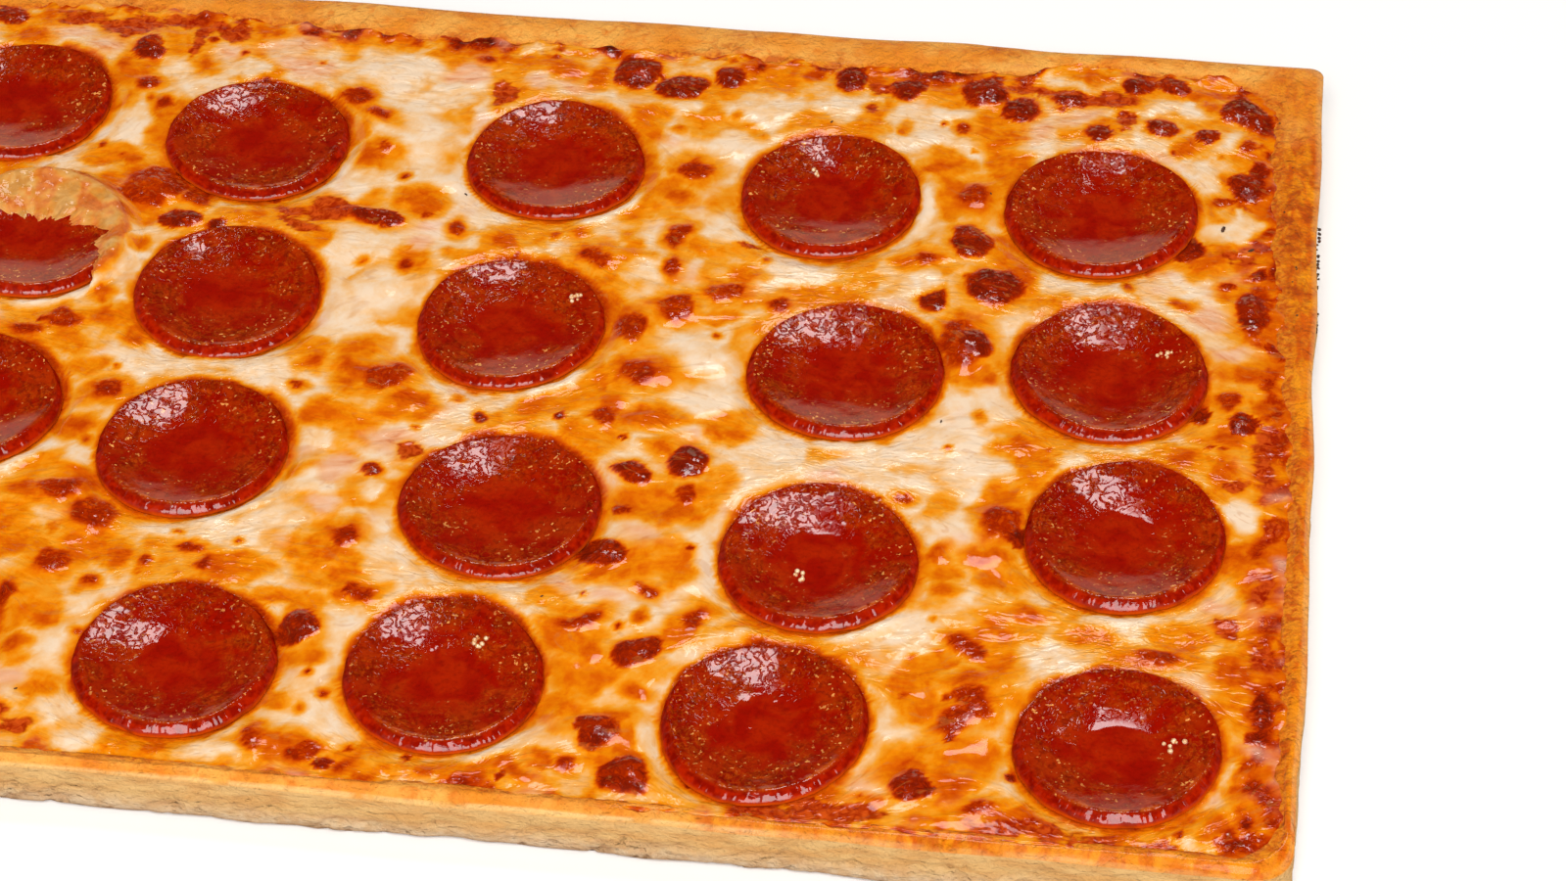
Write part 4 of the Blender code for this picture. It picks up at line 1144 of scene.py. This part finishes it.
FILM_SLICE = slices[5]
FILM_EDGE = (  # angle on the slice, and the share of its radius that the film reaches in to
    (-46.0, 1.18), (-34.0, 0.98), (-15.0, 0.78), (12.0, 0.66), (40.0, 0.5), (70.0, 0.36), (100.0, 0.32),
    (130.0, 0.42), (150.0, 0.66), (172.0, 0.98), (186.0, 1.18),
)
FILM_RIM, FILM_THICKNESS = 1.27, 0.45


def make_film():
    mesh, u, v = grid(300, 60)
    turns, reaches = zip(*FILM_EDGE)
    turn = turns[0] + (0.5 + 0.5 * u) * (turns[-1] - turns[0])
    angle = np.radians(turn)
    edge_x, edge_y = 14.0 * np.cos(angle), 14.0 * np.sin(angle)
    ragged = 0.16 * grain(edge_x, edge_y, 0.0, 6.0, 3, 5.0) + 0.07 * grain(edge_x, edge_y, 0.0, 1.6, 2, 9.0)
    inner = np.interp(turn, turns, reaches)
    inner = np.minimum(inner + ragged * smooth((FILM_RIM - inner) / 0.3), FILM_RIM - 0.04)
    across = 0.5 + 0.5 * v
    share = inner + across * (FILM_RIM - inner)
    out = FILM_SLICE.radius * share * FILM_SLICE.out_of_round(angle)
    dx, dy = out * np.cos(angle), out * np.sin(angle)
    x, y = FILM_SLICE.x + dx, FILM_SLICE.y + dy
    body = smooth(5.0 * across) * smooth((1.2 - inner) / 0.15)
    top = FILM_SLICE.top(dx, dy) + 0.1 + body * (0.75 + 0.35 * grain(x, y, 0.0, 3.6, 3, 3.0))
    level = open_cheese(x, y)[0]
    height = top + (level - 0.35 - top) * smooth((share - 0.94) / (FILM_RIM - 0.94))
    move(mesh, x, y, height)
    bmesh.ops.solidify(mesh, geom=mesh.faces[:], thickness=FILM_THICKNESS)
    bmesh.ops.recalc_face_normals(mesh, faces=mesh.faces)
    x, y, _ = points(mesh)
    piece = make_piece("cheese_film", mesh, bpy.data.materials["melted_cheese"], "cheese", "cheese_tongue")
    dx, dy = x - FILM_SLICE.x, y - FILM_SLICE.y
    angle, away = np.arctan2(dy, dx), np.hypot(dx, dy)
    browned = smooth(0.35 + 1.1 * grain(x, y, 0.0, 5.0, 4, 13.0) + 0.25 * np.cos(angle - 0.5))
    outside = smooth((away / FILM_SLICE.radius - 0.92) / 0.2)
    own = 0.24 + 0.26 * browned
    attach(
        piece, warm=own + (open_cheese(x, y)[1] - own) * outside,
        film=(1.0 - 0.6 * browned) * (1.0 - outside),
        flow=np.stack([19.0 * angle, away, 0.0 * away], -1) * MM,
    )


make_film()


# Floor and light
# A white table under a large soft light above the back edge, in a bright room with a darker stretch of
# wall behind.


def make_floor():
    mesh = bmesh.new()
    bmesh.ops.create_grid(mesh, x_segments=1, y_segments=1, size=4.0)
    finish = Finish("white_table").set(base_color=(0.96, 0.975, 1.0, 1.0), roughness=0.6)
    floor = add_mesh("table", mesh, finish)


def make_light(name, place, target, size, power):
    light = bpy.data.lights.new(name, "AREA")
    light.shape = "RECTANGLE"
    light.size, light.size_y = size
    light.energy = power
    holder = add_object(name, light)
    holder.location = place
    holder.rotation_euler = (Vector(target) - Vector(place)).to_track_quat("-Z", "Y").to_euler()


def make_room():
    """Bright low down all round, dark higher up except in front."""
    world = bpy.data.worlds.new("room")
    bpy.context.scene.world = world
    room = Tree(world, "Generated")
    split = room.nodes.new("ShaderNodeSeparateXYZ")
    room.links.new(room.place, split.inputs["Vector"])
    up, back = split.outputs["Z"], split.outputs["Y"]
    dark = room.times(room.level(up, 0.36, 0.47), room.level(back, -0.55, -0.2))
    warmer = room.level(back, -0.3, 0.1, course="LINEAR")
    low = room.mix(warmer, (0.79, 0.67, 0.51, 1.0), (0.98, 0.79, 0.57, 1.0))
    wall = room.mix(dark, low, (0.02, 0.02, 0.02, 1.0))
    room.links.new(wall, room.nodes["Background"].inputs["Color"])


make_floor()
make_light("softbox", (0.07, 3.45, 7.15), (0.0, 0.0, 0.0), (2.2, 1.9), 127.5)
make_light("fill", (0.3, -1.3, 1.7), (0.0, 0.0, 0.0), (1.8, 1.2), 46.6)
make_room()
bpy.context.scene.view_settings.view_transform = "Standard"


# Camera
# Over the front edge, a little to the right, looking down at 44 degrees.


def make_camera():
    lens = bpy.data.cameras.new("camera")
    lens.lens, lens.sensor_width = 83.26, 36.0
    camera = add_object("camera", lens)
    right = Vector((0.9923, 0.1233, -0.0087)).normalized()
    up = Vector((-0.0795, 0.6901, 0.7194)).normalized()
    turn = Matrix((right, up, right.cross(up))).transposed().to_4x4()
    camera.matrix_world = Matrix.Translation((0.1292, -0.5214, 0.5046)) @ turn
    bpy.context.scene.camera = camera


make_camera()
